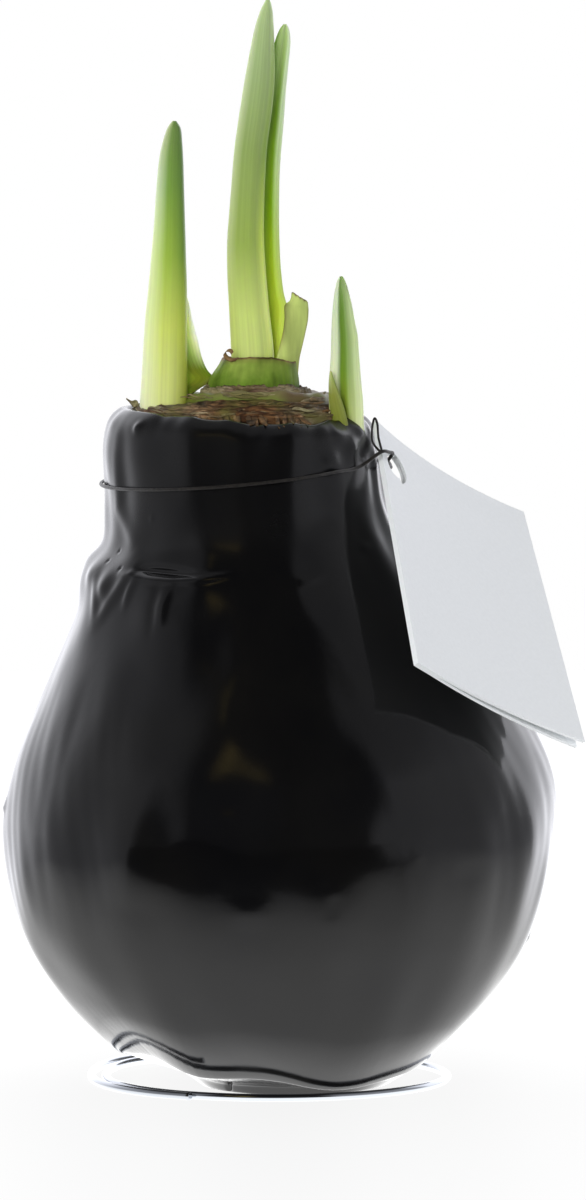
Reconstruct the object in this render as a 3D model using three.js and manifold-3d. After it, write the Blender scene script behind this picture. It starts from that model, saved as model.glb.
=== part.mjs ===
// A flowering bulb in a dipped wax coat: an amaryllis bulb that needs no pot, with its young
// leaves, standing on a bent wire, with a card tag tied round its neck.
// Millimetres, +Z up. The origin is the middle of the flat foot, on the surface it stands on.
// +X is the side that the tag leans on, and -Y is the front.
import * as THREE from "three";
import Module from "manifold-3d";
import { mergeVertices } from "three/addons/utils/BufferGeometryUtils.js";

const wasm = await Module();
wasm.setup();

// ---- driving dimensions -------------------------------------------------------------------

const clearance = 0.3; // between solids that touch on the real thing
const waxThickness = 1.8;

// The wax coat's outline, from the flat foot up to the mouth. Each row gives its distance from
// the bulb's axis and its height, on the left and on the right, and what the front adds to
// their mean.
const waxOutline = [
  { left: [13, 0], right: [18, 0], front: [2.5, 0] }, // edge of the foot
  { left: [17.2, 1.4], right: [20.8, 1.1], front: [1.6, 0] },
  { left: [21.6, 3.4], right: [24.0, 3.2], front: [0.8, 0] },
  { left: [27.0, 4.8], right: [26.6, 4.9], front: [0, 0] }, // under the lower edge
  { left: [28.3, 6.0], right: [27.9, 6.0], front: [0, 0] }, // lower edge of the coat
  { left: [36.9, 15.1], right: [36.1, 15.1], front: [0, 0] },
  { left: [43.6, 26.5], right: [42.5, 26.5], front: [0, 0] },
  { left: [46.2, 42], right: [46.1, 43], front: [0, 0] }, // widest
  { left: [44.2, 53.5], right: [45.3, 53.5], front: [0, 0] },
  { left: [38.4, 67.5], right: [38.7, 67.5], front: [0, 0] },
  { left: [33.8, 79], right: [30.8, 78], front: [0.4, 0] },
  { left: [32.2, 86.6], right: [25.0, 85], front: [0.4, -0.6] }, // edge of the shoulder ledge
  { left: [29.5, 90.4], right: [20.2, 91], front: [-0.6, -3.0] }, // foot of the neck
  { left: [29.0, 97], right: [17.2, 97.5], front: [0, 0] },
  { left: [29.4, 106.5], right: [16.3, 106.0], front: [0, 0] },
  { left: [28.5, 110.5], right: [15.4, 109.6], front: [0, 0] },
  { left: [26.4, 112.6], right: [13.8, 111.5], front: [0, 0] }, // top of the rim
  { left: [24.8, 113.0], right: [12.6, 111.9], front: [0, 0] },
];
const neckRow = 14; // the last row of the outline that the bulb inside follows
const waxRowsPerStep = 2;
const waxSides = 52;
const coreRowsPerStep = 1.5;
const coreSides = 30;

// Drops and rises of the wax's lower edge and of its rim, by direction seen from above, in
// degrees: 0 at the right, 90 at the back and -90 at the front.
const lowerEdgeWaves = [
  { at: -70, height: -3.0, spread: 18 },
  { at: -142, height: 2.4, spread: 16 },
  { at: 160, height: 1.2, spread: 20 },
  { at: 95, height: -1.6, spread: 24 },
  { at: 25, height: 1.5, spread: 20 },
];
const rimWaves = [
  { at: -88, height: -0.5, spread: 26 },
  { at: -150, height: 0.9, spread: 24 },
  { at: 120, height: 0.4, spread: 30 },
];
// Soft upright ribs in the belly, where the bulb's own scales show through the coat.
const ribs = { count: 22, height: 0.22, from: 24, to: 68, fade: 14 };
// Lumps of set wax on the shoulder ledge and under the rim.
const lumps = [
  { at: 186, z: 84, out: 0.6, spread: 4 },
  { at: -128, z: 82, out: 0.7, spread: 5 },
  { at: -150, z: 78, out: 0.6, spread: 6 },
  { at: -141, z: 110, out: 0.6, spread: 2.5 },
  { at: 110, z: 82, out: 0.8, spread: 7 },
];

// The cut neck: the wax's mouth, and the scales rising in steps towards the middle.
const neck = { x: -6, mouth: 19.9, edge: 19.0, floor: 111.4 };
const greenScale = { x: -3.3, foot: 12.3, radius: 11.8, z: 114.8 };
const outerScale = { inside: 16.2, outside: 18.8, innerTop: 113.8, outerTop: 112.7, tilt: 0.6 };
const innerScale = { x: -4.1, inside: 7.8, outside: 9.0, top: 116.2, tilt: 0.5 };
const cutLeaf = { x: -4.4, lean: 0.5, footRadius: 7.5, topRadius: 6.7, wall: 1.2, top: 121.2 };
// What is left standing of the cut leaf, as a slice of its ring that leans outwards.
const cutStrip = { from: -28, to: 62, topFrom: -14, topTo: 64, top: 132.3, lean: 2.0, sides: 8 };

// Leaves: the middle line from the root to the tip, the width and thickness at the root, how far
// the edges curl back, which way the outside faces, and the shape of the tip: how much of the
// width grows evenly from tip to root, and how soon the rest is reached.
const leafSides = 12;
const leafRows = 12;
const leaves = {
  left_leaf: {
    line: [[-19.2, -3.4, 110], [-19.1, -3.4, 122], [-18.2, -3.2, 142], [-17.6, -3.0, 160.8]],
    width: 8.0, thick: 4.2, curl: 0.9, facing: -95, even: 0.55, soon: 0.05,
  },
  center_leaf_front: {
    line: [[-4.6, -1.9, 115.1], [-5.2, -2.0, 130], [-5.7, -2.1, 141.5], [-4.8, -2.2, 157],
      [-3.2, -1.9, 170], [-1.9, -1.5, 181.2]],
    width: 7.3, thick: 2.7, curl: 1.0, facing: -98, even: 0.33, soon: 0.09,
  },
  center_leaf_back: {
    line: [[-3.1, 2.2, 115.1], [-2.2, 2.2, 130], [-2.7, 2.2, 146], [-1.8, 2.0, 160],
      [-0.3, 1.7, 170.5], [0.9, 1.4, 176.8]],
    width: 6.2, thick: 2.4, curl: -1.0, facing: -72, even: 0.4, soon: 0.1,
  },
  right_leaf: {
    line: [[11.4, -9.4, 109.2], [11.1, -9.6, 117], [10.7, -9.7, 126], [10.3, -9.8, 135.4]],
    width: 5.7, thick: 3.1, curl: -0.9, facing: -80, even: 0.4, soon: 0.12,
  },
  right_leaf_sheath: {
    line: [[9.9, -12.7, 109.8], [9.9, -12.6, 113], [9.6, -12.4, 117], [9.2, -12.2, 120.4]],
    width: 3.0, thick: 1.0, curl: 0.2, facing: -95, even: 0.5, soon: 0.2,
  },
};
// The flared sheath behind the left leaf: its outline seen from the front, and how it hollows.
const leftSheath = {
  outline: [[-20, 110], [-14.8, 110], [-14.5, 116.2], [-13.3, 116.8], [-12.6, 118.6],
    [-13.7, 120.8], [-14.8, 126], [-15.7, 130.5], [-17.4, 134], [-20, 129]],
  y: -0.4, wall: 0.8, hollow: 0.03, middle: -19,
};

// The wire stand: a flat spiral on the surface, from its outer end to where its inner end turns
// in under the bulb and up into it. Angles as above.
const wire = {
  diameter: 1.3, x: -1.7, radius: 29.75, inner: 26.5, start: -116, narrowing: -360, end: -600,
  raised: [{ at: 150, height: 0.7, spread: 32 }],
  hook: [[-12.0, 24.4, 0], [-9.2, 24.7, 0], [-7.4, 23.0, 0.05], [-7.0, 21.2, 1.0]],
  prong: { x: -7, y: 20.9, top: 13 },
};

// The tag: a card folded along its left edge, tied at the hole, leaning on the shoulder. Its
// lower right corner lifts off, and its middle bows in.
const tag = {
  width: 38, height: 51.4, sheet: 0.5, opening: 1.4, lift: 3.9, bow: 1.7,
  corner: [16.1, -6.6, 111.2],
  across: [25.1, 23.2, -17.4],
  down: [7.2, -34.7, -37.5],
  holeRadius: 2.2, holeAcross: 3.8, holeDown: 7.6,
};
const tie = {
  diameter: 0.8, left: 100, right: 104.9, stand: 0.75, behindTag: [18.5, -4.9, 103.2],
  throughTag: [[-1.1, -7.8, 0.8], [0.9, -6.9, 0.85], [2.6, -6.4, 0.45], [3.5, -6.8, -0.8],
    [4.0, -7.4, -2.5]],
  loop: [[17.0, -12.9, 106.5], [15.2, -12.9, 108.6], [15.1, -12.4, 111.0], [15.8, -12.0, 112.4],
    [16.4, -12.1, 111.2], [16.4, -12.5, 108.9]],
};

const colors = {
  wax: 0x0b0b0d, bulb: 0xb9bd7a, dryScale: 0x6b4528, cutLeaf: 0x7da23c, leaf: 0x8fb84a,
  sheath: 0x9aa54a, wire: 0xc9ccd0, tie: 0x111111, tag: 0xd6dadb,
};

// ---- solids ---------------------------------------------------------------------------------

const { degToRad, lerp, smoothstep } = THREE.MathUtils;
const fullTurn = 2 * Math.PI;
const count = (n) => Array.from({ length: n }, (_, i) => i);
const vector = (xyz) => new THREE.Vector3(...xyz);
const curveThrough = (points) => new THREE.CatmullRomCurve3(points);

/** Turns a closed mesh into a solid that can be joined and cut. */
function solidOf(geometry) {
  const bare = geometry.clone();
  bare.deleteAttribute("normal");
  bare.deleteAttribute("uv");
  const merged = mergeVertices(bare, 1e-4);
  return new wasm.Manifold(
    new wasm.Mesh({
      numProp: 3,
      vertProperties: merged.attributes.position.array,
      triVerts: new Uint32Array(merged.index.array),
    }),
  );
}

/** Turns a solid back into a mesh. */
function geometryOf(solid) {
  const mesh = solid.getMesh();
  const geometry = new THREE.BufferGeometry();
  geometry.setAttribute("position", new THREE.BufferAttribute(mesh.vertProperties, 3));
  geometry.setIndex(new THREE.BufferAttribute(mesh.triVerts, 1));
  geometry.computeVertexNormals();
  return geometry;
}

/** Skins a stack of rings, all with as many points, and closes both ends. A ring runs
 * anticlockwise, seen from the end that comes last. */
function loft(rings) {
  const sides = rings[0].length;
  const positions = rings.flat().flatMap((p) => p.toArray());
  const index = [];
  for (let row = 0; row + 1 < rings.length; row++) {
    for (let i = 0; i < sides; i++) {
      const a = row * sides + i;
      const b = row * sides + ((i + 1) % sides);
      index.push(a, b, b + sides, a, b + sides, a + sides);
    }
  }
  [rings[0], rings.at(-1)].forEach((ring, end) => {
    const middle = ring.reduce((sum, p) => sum.add(p), new THREE.Vector3());
    const hub = positions.length / 3;
    positions.push(...middle.divideScalar(sides).toArray());
    const first = end ? (rings.length - 1) * sides : 0;
    for (let i = 0; i < sides; i++) {
      const pair = [first + i, first + ((i + 1) % sides)];
      index.push(hub, ...(end ? pair : pair.reverse()));
    }
  });
  const geometry = new THREE.BufferGeometry();
  geometry.setAttribute("position", new THREE.Float32BufferAttribute(positions, 3));
  geometry.setIndex(index);
  return geometry;
}

/** A ring of points round an upright axis. Its height may change with the direction. */
function ring(sides, x, radius, height) {
  return count(sides).map((i) => {
    const angle = (fullTurn * i) / sides;
    const r = typeof radius === "function" ? radius(angle) : radius;
    const z = typeof height === "function" ? height(angle) : height;
    return new THREE.Vector3(x + r * Math.cos(angle), r * Math.sin(angle), z);
  });
}

/** A ring with a wall: the space between two stacks of rings. */
function hollowRing(outside, inside) {
  return solidOf(loft(outside)).subtract(solidOf(loft(inside)));
}

/** How far apart two directions are, in radians, the short way round. */
function turnBetween(angle, degrees) {
  const away = Math.abs(angle - degToRad(degrees)) % fullTurn;
  return Math.min(away, fullTurn - away);
}

/** How much a list of waves lifts an edge in one direction. */
function waveHeight(waves, angle) {
  return waves.reduce((sum, { at, height, spread }) => {
    const away = turnBetween(angle, at) / degToRad(spread);
    return sum + height * Math.exp(-away * away);
  }, 0);
}

// ---- wax coat and bulb ----------------------------------------------------------------------

/** The coat's outline in one direction, as a curve of (distance from the axis, 0, height). */
function outlineAt(angle) {
  const toRight = (1 + Math.cos(angle)) / 2;
  const toFront = Math.max(0, -Math.sin(angle)) ** 2;
  const between = (row, i) => lerp(row.left[i], row.right[i], toRight) + row.front[i] * toFront;
  return curveThrough(
    waxOutline.map((row) => new THREE.Vector3(between(row, 0), 0, between(row, 1))),
  );
}

/** Sets a point of an outline in its direction round the bulb's axis. */
function turned(point, angle) {
  return new THREE.Vector3(point.x * Math.cos(angle), point.x * Math.sin(angle), point.z);
}

/** Ribs and lumps: how far the wax stands out at one place. */
function relief(angle, z) {
  const { from, to, fade } = ribs;
  const inBelly = smoothstep(z, from, from + fade) * (1 - smoothstep(z, to - fade, to));
  const rib = ribs.height * Math.sin(ribs.count * angle + 1.3 * Math.sin(3 * angle));
  return lumps.reduce((sum, { at, z: middle, out, spread }) => {
    const across = neck.mouth * 1.5 * turnBetween(angle, at);
    return sum + out * Math.exp(-(across ** 2 + (z - middle) ** 2) / spread ** 2);
  }, rib * inBelly);
}

/** The outside of the wax coat, in one direction and at one share of the outline. */
function waxPoint(angle, share) {
  const point = outlineAt(angle).getPoint(share);
  const height = point.z;
  const nearEdge = smoothstep(height, 1.5, 5) * (1 - smoothstep(height, 6, 26));
  const nearRim = smoothstep(height, 106, 112.6);
  point.x += relief(angle, height);
  point.z += nearEdge * waveHeight(lowerEdgeWaves, angle) + nearRim * waveHeight(rimWaves, angle);
  return turned(point, angle);
}

/** The whole of the wax coat's outside, as one solid. */
function waxOutside() {
  const rows = (waxOutline.length - 1) * waxRowsPerStep;
  const angles = count(waxSides).map((i) => (fullTurn * i) / waxSides);
  return solidOf(
    loft(count(rows + 1).map((row) => angles.map((angle) => waxPoint(angle, row / rows)))),
  );
}

/** The bulb's own shape under the wax, this deep in it, from its base to its neck. */
function coreRings(depth) {
  const rows = neckRow * coreRowsPerStep;
  const last = neckRow / (waxOutline.length - 1);
  return count(rows + 1).map((row) =>
    count(coreSides).map((i) => {
      const angle = (fullTurn * i) / coreSides;
      const share = (last * row) / rows;
      const curve = outlineAt(angle);
      const along = curve.getTangent(share);
      const inwards = new THREE.Vector3(-along.z, 0, along.x);
      return turned(curve.getPoint(share).addScaledVector(inwards, depth), angle);
    }),
  );
}

/** The space in the coat: the bulb's shape, and the mouth above it. */
function waxInside() {
  const rings = coreRings(waxThickness);
  const mouth = (angle) => neck.mouth + 0.35 * Math.sin(5 * angle) + 0.2 * Math.sin(11 * angle);
  rings.push(ring(coreSides, neck.x, mouth, neck.floor - 1));
  rings.push(ring(coreSides, neck.x, mouth, neck.floor + 8));
  return solidOf(loft(rings));
}

/** The living bulb: its body, and the cut scales of its neck rising in steps to the middle. */
function bulbBody() {
  const rings = coreRings(waxThickness + clearance);
  const level = (radius, z, x = neck.x) => rings.push(ring(coreSides, x, radius, z));
  level(neck.edge, neck.floor - 1 - clearance);
  level(neck.edge, neck.floor);
  level(outerScale.inside - clearance, neck.floor);
  level(outerScale.inside - 1.2, outerScale.innerTop - 0.7, neck.x + 0.5);
  level(greenScale.foot, greenScale.z - 0.8, greenScale.x);
  level(greenScale.radius, greenScale.z, greenScale.x);
  return solidOf(loft(rings));
}

// ---- cut scales and cut leaf --------------------------------------------------------------------

/** The brown papery scale round the neck, highest on its inside, with a ragged edge. */
function outerDryScale() {
  const { inside, outside, innerTop, outerTop, tilt } = outerScale;
  const foot = neck.floor + clearance;
  const ragged = (z) => (angle) =>
    z - tilt * Math.sin(angle) + 0.3 * Math.sin(9 * angle) + 0.2 * Math.sin(17 * angle + 1);
  const level = (radius, z) => ring(36, neck.x, radius, z);
  return hollowRing(
    [
      level(outside, foot),
      level(outside - 0.2, ragged(outerTop)),
      level((inside + outside) / 2, ragged((innerTop + outerTop) / 2 + 0.3)),
      level(inside + 0.5, ragged(innerTop)),
    ],
    [level(inside, foot - 1), level(inside, innerTop + 2)],
  );
}

/** The brown papery ring round the cut leaf, wider on the right. */
function innerDryScale() {
  const { x, inside, outside, top, tilt } = innerScale;
  const foot = greenScale.z + clearance;
  const ragged = (z) => (angle) =>
    z - tilt * Math.sin(angle) + 0.15 * Math.sin(7 * angle + 2) + 0.1 * Math.sin(13 * angle);
  return hollowRing(
    [
      ring(32, x, outside, foot),
      ring(32, x, outside - 0.3, ragged(top - 0.5)),
      ring(32, x, (outside + inside) / 2, ragged(top)),
    ],
    [ring(32, cutLeaf.x, inside, foot - 1), ring(32, cutLeaf.x, inside, top + 2)],
  );
}

/** The old leaf, cut low all round, with one strip of it left standing at the right. */
function cutLeafSolid() {
  const { x, lean, footRadius, topRadius, wall, top } = cutLeaf;
  const foot = greenScale.z + clearance;
  const belly = foot + 1.5;
  const cutEdge = (angle) =>
    top + 0.2 * Math.sin(8 * angle) - 1.2 * Math.exp(-((turnBetween(angle, -18) / 0.5) ** 2));
  const base = hollowRing(
    [
      ring(28, x, footRadius, foot),
      ring(28, x, footRadius, belly),
      ring(28, x + lean, topRadius, cutEdge),
    ],
    [
      ring(28, x, footRadius - wall, foot - 1),
      ring(28, x, footRadius - wall, belly),
      ring(28, x + lean, topRadius - wall, top + 3),
    ],
  );
  return base.add(cutStripSolid(belly));
}

/** The strip: a slice of the ring, leaning out, with a slanting cut top and a torn corner. */
function cutStripSolid(foot) {
  const { from, to, topFrom, topTo, top, lean, sides } = cutStrip;
  const { x, topRadius, wall } = cutLeaf;
  const turns = count(sides + 1).map((i) => i / sides);
  const slice = (up) => {
    const side = (radius, list) =>
      list.map((turn) => {
        const angle = degToRad(lerp(lerp(from, topFrom, up), lerp(to, topTo, up), turn));
        const cut = top - 2.2 * (1 - smoothstep(turn, 0, 0.6)) - 2.2 * smoothstep(turn, 0.7, 0.8);
        const middle = x + cutLeaf.lean * Math.min(1, up * 2) + lean * up;
        const z = lerp(foot, cut, up);
        return new THREE.Vector3(middle + radius * Math.cos(angle), radius * Math.sin(angle), z);
      });
    return [...side(topRadius, turns), ...side(topRadius - wall, [...turns].reverse())];
  };
  return solidOf(loft([0, 0.4, 0.7, 1].map(slice)));
}

// ---- leaves -------------------------------------------------------------------------------------

/** A leaf: a curved blade that narrows to its tip. grow fattens it all round, for the pocket
 * that it stands in. */
function leafSolid({ line, width, thick, curl, facing, even, soon }, grow = 0) {
  const curve = curveThrough(line.map(vector));
  const out = new THREE.Vector3(Math.cos(degToRad(facing)), Math.sin(degToRad(facing)), 0);
  const side = new THREE.Vector3(-out.y, out.x, 0);
  const tipSize = 0.04;
  const rings = count(leafRows + 1).map((row) => {
    const fromTip = (1 - row / leafRows) ** 1.6;
    const size = even * fromTip + (1 - even) * (1 - Math.exp(-fromTip / soon)) + tipSize;
    const middle = curve.getPointAt(1 - fromTip);
    if (!row) middle.z -= grow;
    return count(leafSides).map((i) => {
      const angle = (-fullTurn * i) / leafSides;
      const across = Math.cos(angle) * ((width * size) / 2 + grow);
      const deep = Math.sin(angle) * ((thick * Math.sqrt(size)) / 2 + grow);
      const bent = curl * size * Math.cos(angle) ** 2;
      return middle.clone().addScaledVector(side, across).addScaledVector(out, deep - bent);
    });
  });
  return solidOf(loft(rings));
}

/** The flared sheath behind the left leaf. */
function leftSheathSolid(grow = 0) {
  const { outline, y, wall, hollow, middle } = leftSheath;
  const shape = new THREE.Shape(outline.map(([x, z]) => new THREE.Vector2(x, z)));
  const blade = new THREE.ExtrudeGeometry(shape, { depth: wall + 2 * grow, bevelEnabled: false });
  blade.rotateX(Math.PI / 2);
  const place = blade.attributes.position;
  for (const i of count(place.count)) {
    const across = place.getX(i) - middle;
    const foot = place.getZ(i) < outline[0][1] + 1 ? grow : 0;
    place.setY(i, place.getY(i) + y + wall + grow + hollow * across * across);
    place.setX(i, place.getX(i) + grow * Math.sign(across));
    place.setZ(i, place.getZ(i) - foot);
  }
  return solidOf(blade);
}

// ---- wire, tag and tie ----------------------------------------------------------------------------

/** The wire's route: the spiral, then the turn in under the bulb and up. */
function wirePath() {
  const { diameter, x, radius, inner, start, narrowing, end, raised, hook, prong } = wire;
  const lowest = 0.01 + diameter / 2;
  const points = count(33).map((i) => {
    const degrees = lerp(start, end, i / 32);
    const angle = degToRad(degrees);
    const r = lerp(radius, inner, Math.max(0, (degrees - narrowing) / (end - narrowing)));
    const z = lowest + waveHeight(raised, angle);
    return new THREE.Vector3(x + r * Math.cos(angle), r * Math.sin(angle), z);
  });
  hook.forEach(([hookX, y, up]) => points.push(new THREE.Vector3(hookX, y, lowest + up)));
  points.push(new THREE.Vector3(prong.x, prong.y, lowest + 3));
  points.push(new THREE.Vector3(prong.x, prong.y, prong.top));
  return curveThrough(points);
}

/** The bent wire, with eight flats along it. */
function wireSolid() {
  const sides = 8;
  const corners = count(sides).map((i) => {
    const angle = (fullTurn * (i + 0.5)) / sides;
    return new THREE.Vector2(Math.cos(angle), Math.sin(angle)).multiplyScalar(wire.diameter / 2);
  });
  const path = { steps: 88, extrudePath: wirePath(), curveSegments: 1 };
  return solidOf(new THREE.ExtrudeGeometry(new THREE.Shape(corners), path));
}

/** The hole that the wire's prong stands in. */
function prongHole() {
  const { diameter, prong } = wire;
  const radius = diameter / 2 + clearance;
  const height = prong.top + clearance;
  const hole = new THREE.CylinderGeometry(radius, radius, height, 10);
  hole.rotateX(Math.PI / 2);
  hole.translate(prong.x, prong.y, height / 2);
  return solidOf(hole);
}

/** Where the tag hangs: its own X runs across it, its Y up and its Z out of its face. */
function tagFrame() {
  const across = vector(tag.across).normalize();
  const out = vector(tag.down).cross(vector(tag.across)).normalize();
  const up = new THREE.Vector3().crossVectors(out, across);
  return new THREE.Matrix4().makeBasis(across, up, out).setPosition(vector(tag.corner));
}

/** The folded card: two sheets that part a little from the fold on the left, bowed and bent. */
function tagSolid() {
  const { width, height, sheet, opening, lift, bow, holeRadius, holeAcross, holeDown } = tag;
  const shares = count(11).map((i) => i / 10);
  const parted = shares.filter((share) => share > 0.15);
  const gap = (share) => Math.max(0, share - 0.1) * opening;
  const line = (list, behind) =>
    list.map((share) => new THREE.Vector2(share * width, -behind(share)));
  const section = new THREE.Shape([
    ...line(shares, () => 0),
    ...line([...parted].reverse(), () => sheet),
    ...line(parted, (share) => sheet + gap(share)),
    ...line([...shares].reverse(), (share) => 2 * sheet + gap(share)),
  ]);
  const card = new THREE.ExtrudeGeometry(section, { depth: height, steps: 8, bevelEnabled: false });
  card.rotateX(Math.PI / 2);
  const place = card.attributes.position;
  for (const i of count(place.count)) {
    const right = place.getX(i) / width;
    const low = -place.getY(i) / height;
    const bowed = bow * 4 * right * (1 - right) * (1 - 0.4 * low);
    place.setZ(i, place.getZ(i) + lift * right * low - bowed);
  }
  const punch = new THREE.CylinderGeometry(holeRadius, holeRadius, 12, 14);
  punch.rotateX(Math.PI / 2);
  punch.translate(holeAcross, -holeDown, 0);
  return solidOf(card).subtract(solidOf(punch));
}

/** The cord's middle on the wax in one direction: on the neck's wall, standing off it. */
function tieOnNeck(degrees) {
  const angle = degToRad(degrees);
  const height = lerp(tie.left, tie.right, (1 + Math.cos(angle)) / 2);
  const [low, high] = [waxOutline[neckRow - 1].left[1], waxOutline[neckRow].left[1]];
  const row = neckRow - 1 + (height - low) / (high - low);
  const wall = waxPoint(angle, row / (waxOutline.length - 1));
  const out = new THREE.Vector3(wall.x - neck.x, wall.y, 0).normalize();
  return wall.addScaledVector(out, tie.stand);
}

/** The cord: round the neck on the wax, over the tag's fold and through its hole, and the small
 * loop that stands up at the knot. */
function tieSolid() {
  const points = tie.throughTag.map((point) => vector(point).applyMatrix4(tagFrame()));
  points.push(vector(tie.behindTag));
  for (let degrees = 8; degrees <= 314; degrees += 18) points.push(tieOnNeck(degrees));
  const cord = (route, steps) => {
    const path = new THREE.CatmullRomCurve3(route, true);
    return solidOf(new THREE.TubeGeometry(path, steps, tie.diameter / 2, 6, true));
  };
  return cord(points, 76).add(cord(tie.loop.map(vector), 16));
}

// ---- assembly -------------------------------------------------------------------------------------

const root = new THREE.Group();

function place(name, solid, color, roughness, metalness = 0) {
  const material = new THREE.MeshStandardMaterial({ color, roughness, metalness });
  const mesh = new THREE.Mesh(geometryOf(solid), material);
  mesh.name = name;
  root.add(mesh);
  return mesh;
}

// What grows out of the neck stands in pockets of the same shape.
const pockets = Object.values(leaves).map((leaf) => leafSolid(leaf, clearance));
pockets.push(leftSheathSolid(clearance));
const withPockets = (solid) => pockets.reduce((cut, pocket) => cut.subtract(pocket), solid);
const waxCoat = waxOutside().subtract(waxInside()).subtract(prongHole());

place("wax_coat", withPockets(waxCoat), colors.wax, 0.12);
place("bulb", withPockets(bulbBody().subtract(prongHole())), colors.bulb, 0.7);
place("outer_dry_scale", withPockets(outerDryScale()), colors.dryScale, 0.9);
place("inner_dry_scale", withPockets(innerDryScale()), colors.dryScale, 0.9);
place("cut_leaf", cutLeafSolid(), colors.cutLeaf, 0.5);
for (const [name, leaf] of Object.entries(leaves)) place(name, leafSolid(leaf), colors.leaf, 0.45);
place("left_leaf_sheath", leftSheathSolid(), colors.sheath, 0.5);
place("wire_stand", wireSolid(), colors.wire, 0.25, 1);
place("neck_tie", tieSolid(), colors.tie, 0.7);
place("tag", tagSolid(), colors.tag, 0.6).applyMatrix4(tagFrame());

export default root;
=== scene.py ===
# A flowering bulb in a dipped wax coat: it needs no pot and no water. Young leaves grow from its
# cut neck, it stands on a bent wire, and a blank folded tag is tied round its neck.
import math
import bpy
import numpy as np
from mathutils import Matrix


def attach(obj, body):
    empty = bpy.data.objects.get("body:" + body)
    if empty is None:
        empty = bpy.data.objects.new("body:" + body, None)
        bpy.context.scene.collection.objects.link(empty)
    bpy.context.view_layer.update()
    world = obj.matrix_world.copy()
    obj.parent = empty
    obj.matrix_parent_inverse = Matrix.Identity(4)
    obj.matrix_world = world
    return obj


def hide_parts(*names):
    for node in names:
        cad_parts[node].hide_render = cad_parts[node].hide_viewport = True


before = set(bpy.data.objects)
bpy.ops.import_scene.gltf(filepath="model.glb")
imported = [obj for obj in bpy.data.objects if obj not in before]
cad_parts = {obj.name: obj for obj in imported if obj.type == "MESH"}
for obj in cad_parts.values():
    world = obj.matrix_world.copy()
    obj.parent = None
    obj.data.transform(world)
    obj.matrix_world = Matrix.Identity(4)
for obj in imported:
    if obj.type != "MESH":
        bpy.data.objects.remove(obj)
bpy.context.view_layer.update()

# ---- Camera ----
# A long lens stands in front of the bulb, a little above it, and looks slightly down at it.

mm = 0.001
camera_place, camera_tilt = (2.2575, -2400, 304), 5.3176  # millimetres, and degrees below level
lens_length, sensor_width, view_reach = 433.76, 36, 20  # millimetres, and metres


def put_in_scene(name, data):
    """Makes an object of a mesh, a lamp or a camera, and puts it in the scene."""
    thing = bpy.data.objects.new(name, data)
    bpy.context.scene.collection.objects.link(thing)
    return thing


camera_data = bpy.data.cameras.new("camera")
camera_data.sensor_fit = "AUTO"
camera_data.sensor_width = sensor_width
camera_data.lens = lens_length
camera_data.clip_end = view_reach
camera = put_in_scene("camera", camera_data)
camera.location = [v * mm for v in camera_place]
camera.rotation_euler = (math.radians(90 - camera_tilt), 0, 0)
bpy.context.scene.camera = camera
bpy.context.scene.view_settings.view_transform = "Standard"

# ---- Room: backdrop, lamps and floor ----
# A white backdrop wraps round the back and sides of a white table. Towards the camera the room
# is dark, and that darkness is what the wax mirrors down its middle.

brightest = 2.2  # the brightest part of the backdrop, against 1 for paper white
# Brightness round the room, by degrees from the camera: to the left, then to the right.
room_left = [(0, 0.03), (43, 0.05), (49, 0.22), (55, 0.42), (75, 0.48), (92, 0.53), (106, 0.66),
             (116, 0.86), (126, 1.3), (137, 1.7), (152, 2), (180, 1.8)]
room_right = [(38, 0.05), (45, 0.5), (80, 0.52), (108, 0.56), (116, 0.9), (122, 2), (140, 2.2)]
wall_tint = (0.98, 0.985, 1.04)
# By how high they are in the room, where 0 is level and 1 is overhead.
wall_fade, ceiling_share = [(0.42, 1), (0.58, 0.68), (0.8, 0.5)], [(0.88, 0), (0.95, 1)]
ceiling_grey = (0.12, 0.12, 0.125)
# Things in the room: degrees from the camera (left is below 0), how high, and colour.
room_things = [((-34, -12), (0.48, 0.66), (0.66, 0.5, 0.17)), ((-43, -34), (0.7, 0.8), (0.6, 0.47, 0.16))]
soft_edge = 0.08


def add_node(tree, kind, inputs=None, **settings):
    """Adds a node with its settings. An input is a plain value or what another node gives."""
    node = tree.nodes.new("ShaderNode" + kind)
    for name, value in settings.items():
        setattr(node, name, value)
    for name, value in (inputs or {}).items():
        if isinstance(value, bpy.types.NodeSocket):
            tree.links.new(value, node.inputs[name])
        else:
            node.inputs[name].default_value = value
    return node


def add_ramp(source, stops, interpolation="LINEAR"):
    """Turns a number into a colour, by stops of (number, brightness or colour)."""
    ramp = add_node(source.id_data, "ValToRGB", {"Fac": source})
    ramp.color_ramp.interpolation = interpolation
    elements = ramp.color_ramp.elements
    elements.remove(elements[-1])
    for i, (at, colour) in enumerate(stops):
        element = elements.new(at) if i else elements[0]
        element.position = at
        element.color = (*colour, 1) if isinstance(colour, tuple) else (colour, colour, colour, 1)
    return ramp.outputs["Color"]


def math_node(operation, *numbers):
    """A sum, product or the like of what nodes give and of plain numbers."""
    return add_node(numbers[0].id_data, "Math", dict(enumerate(numbers)), operation=operation).outputs[0]


def scaled(number, by, plus=0):
    """A number times another, plus a third."""
    return math_node("MULTIPLY_ADD", number, by, plus)


def mix_colours(share, below, above, how="MIX"):
    """Lays one colour over another by a share, or multiplies the two."""
    above = (*above, 1) if isinstance(above, tuple) else above
    colours = {"Factor": share, "A": below, "B": above}
    return add_node(below.id_data, "Mix", colours, data_type="RGBA", blend_type=how).outputs["Result"]


def parts_of(place):
    """A place's X, Y and Z."""
    return add_node(place.id_data, "SeparateXYZ", {"Vector": place}).outputs


def round_room(degrees):
    """A direction as a share of the whole turn, where 0.5 is towards the camera."""
    return 0.5 + degrees / 360


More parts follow.
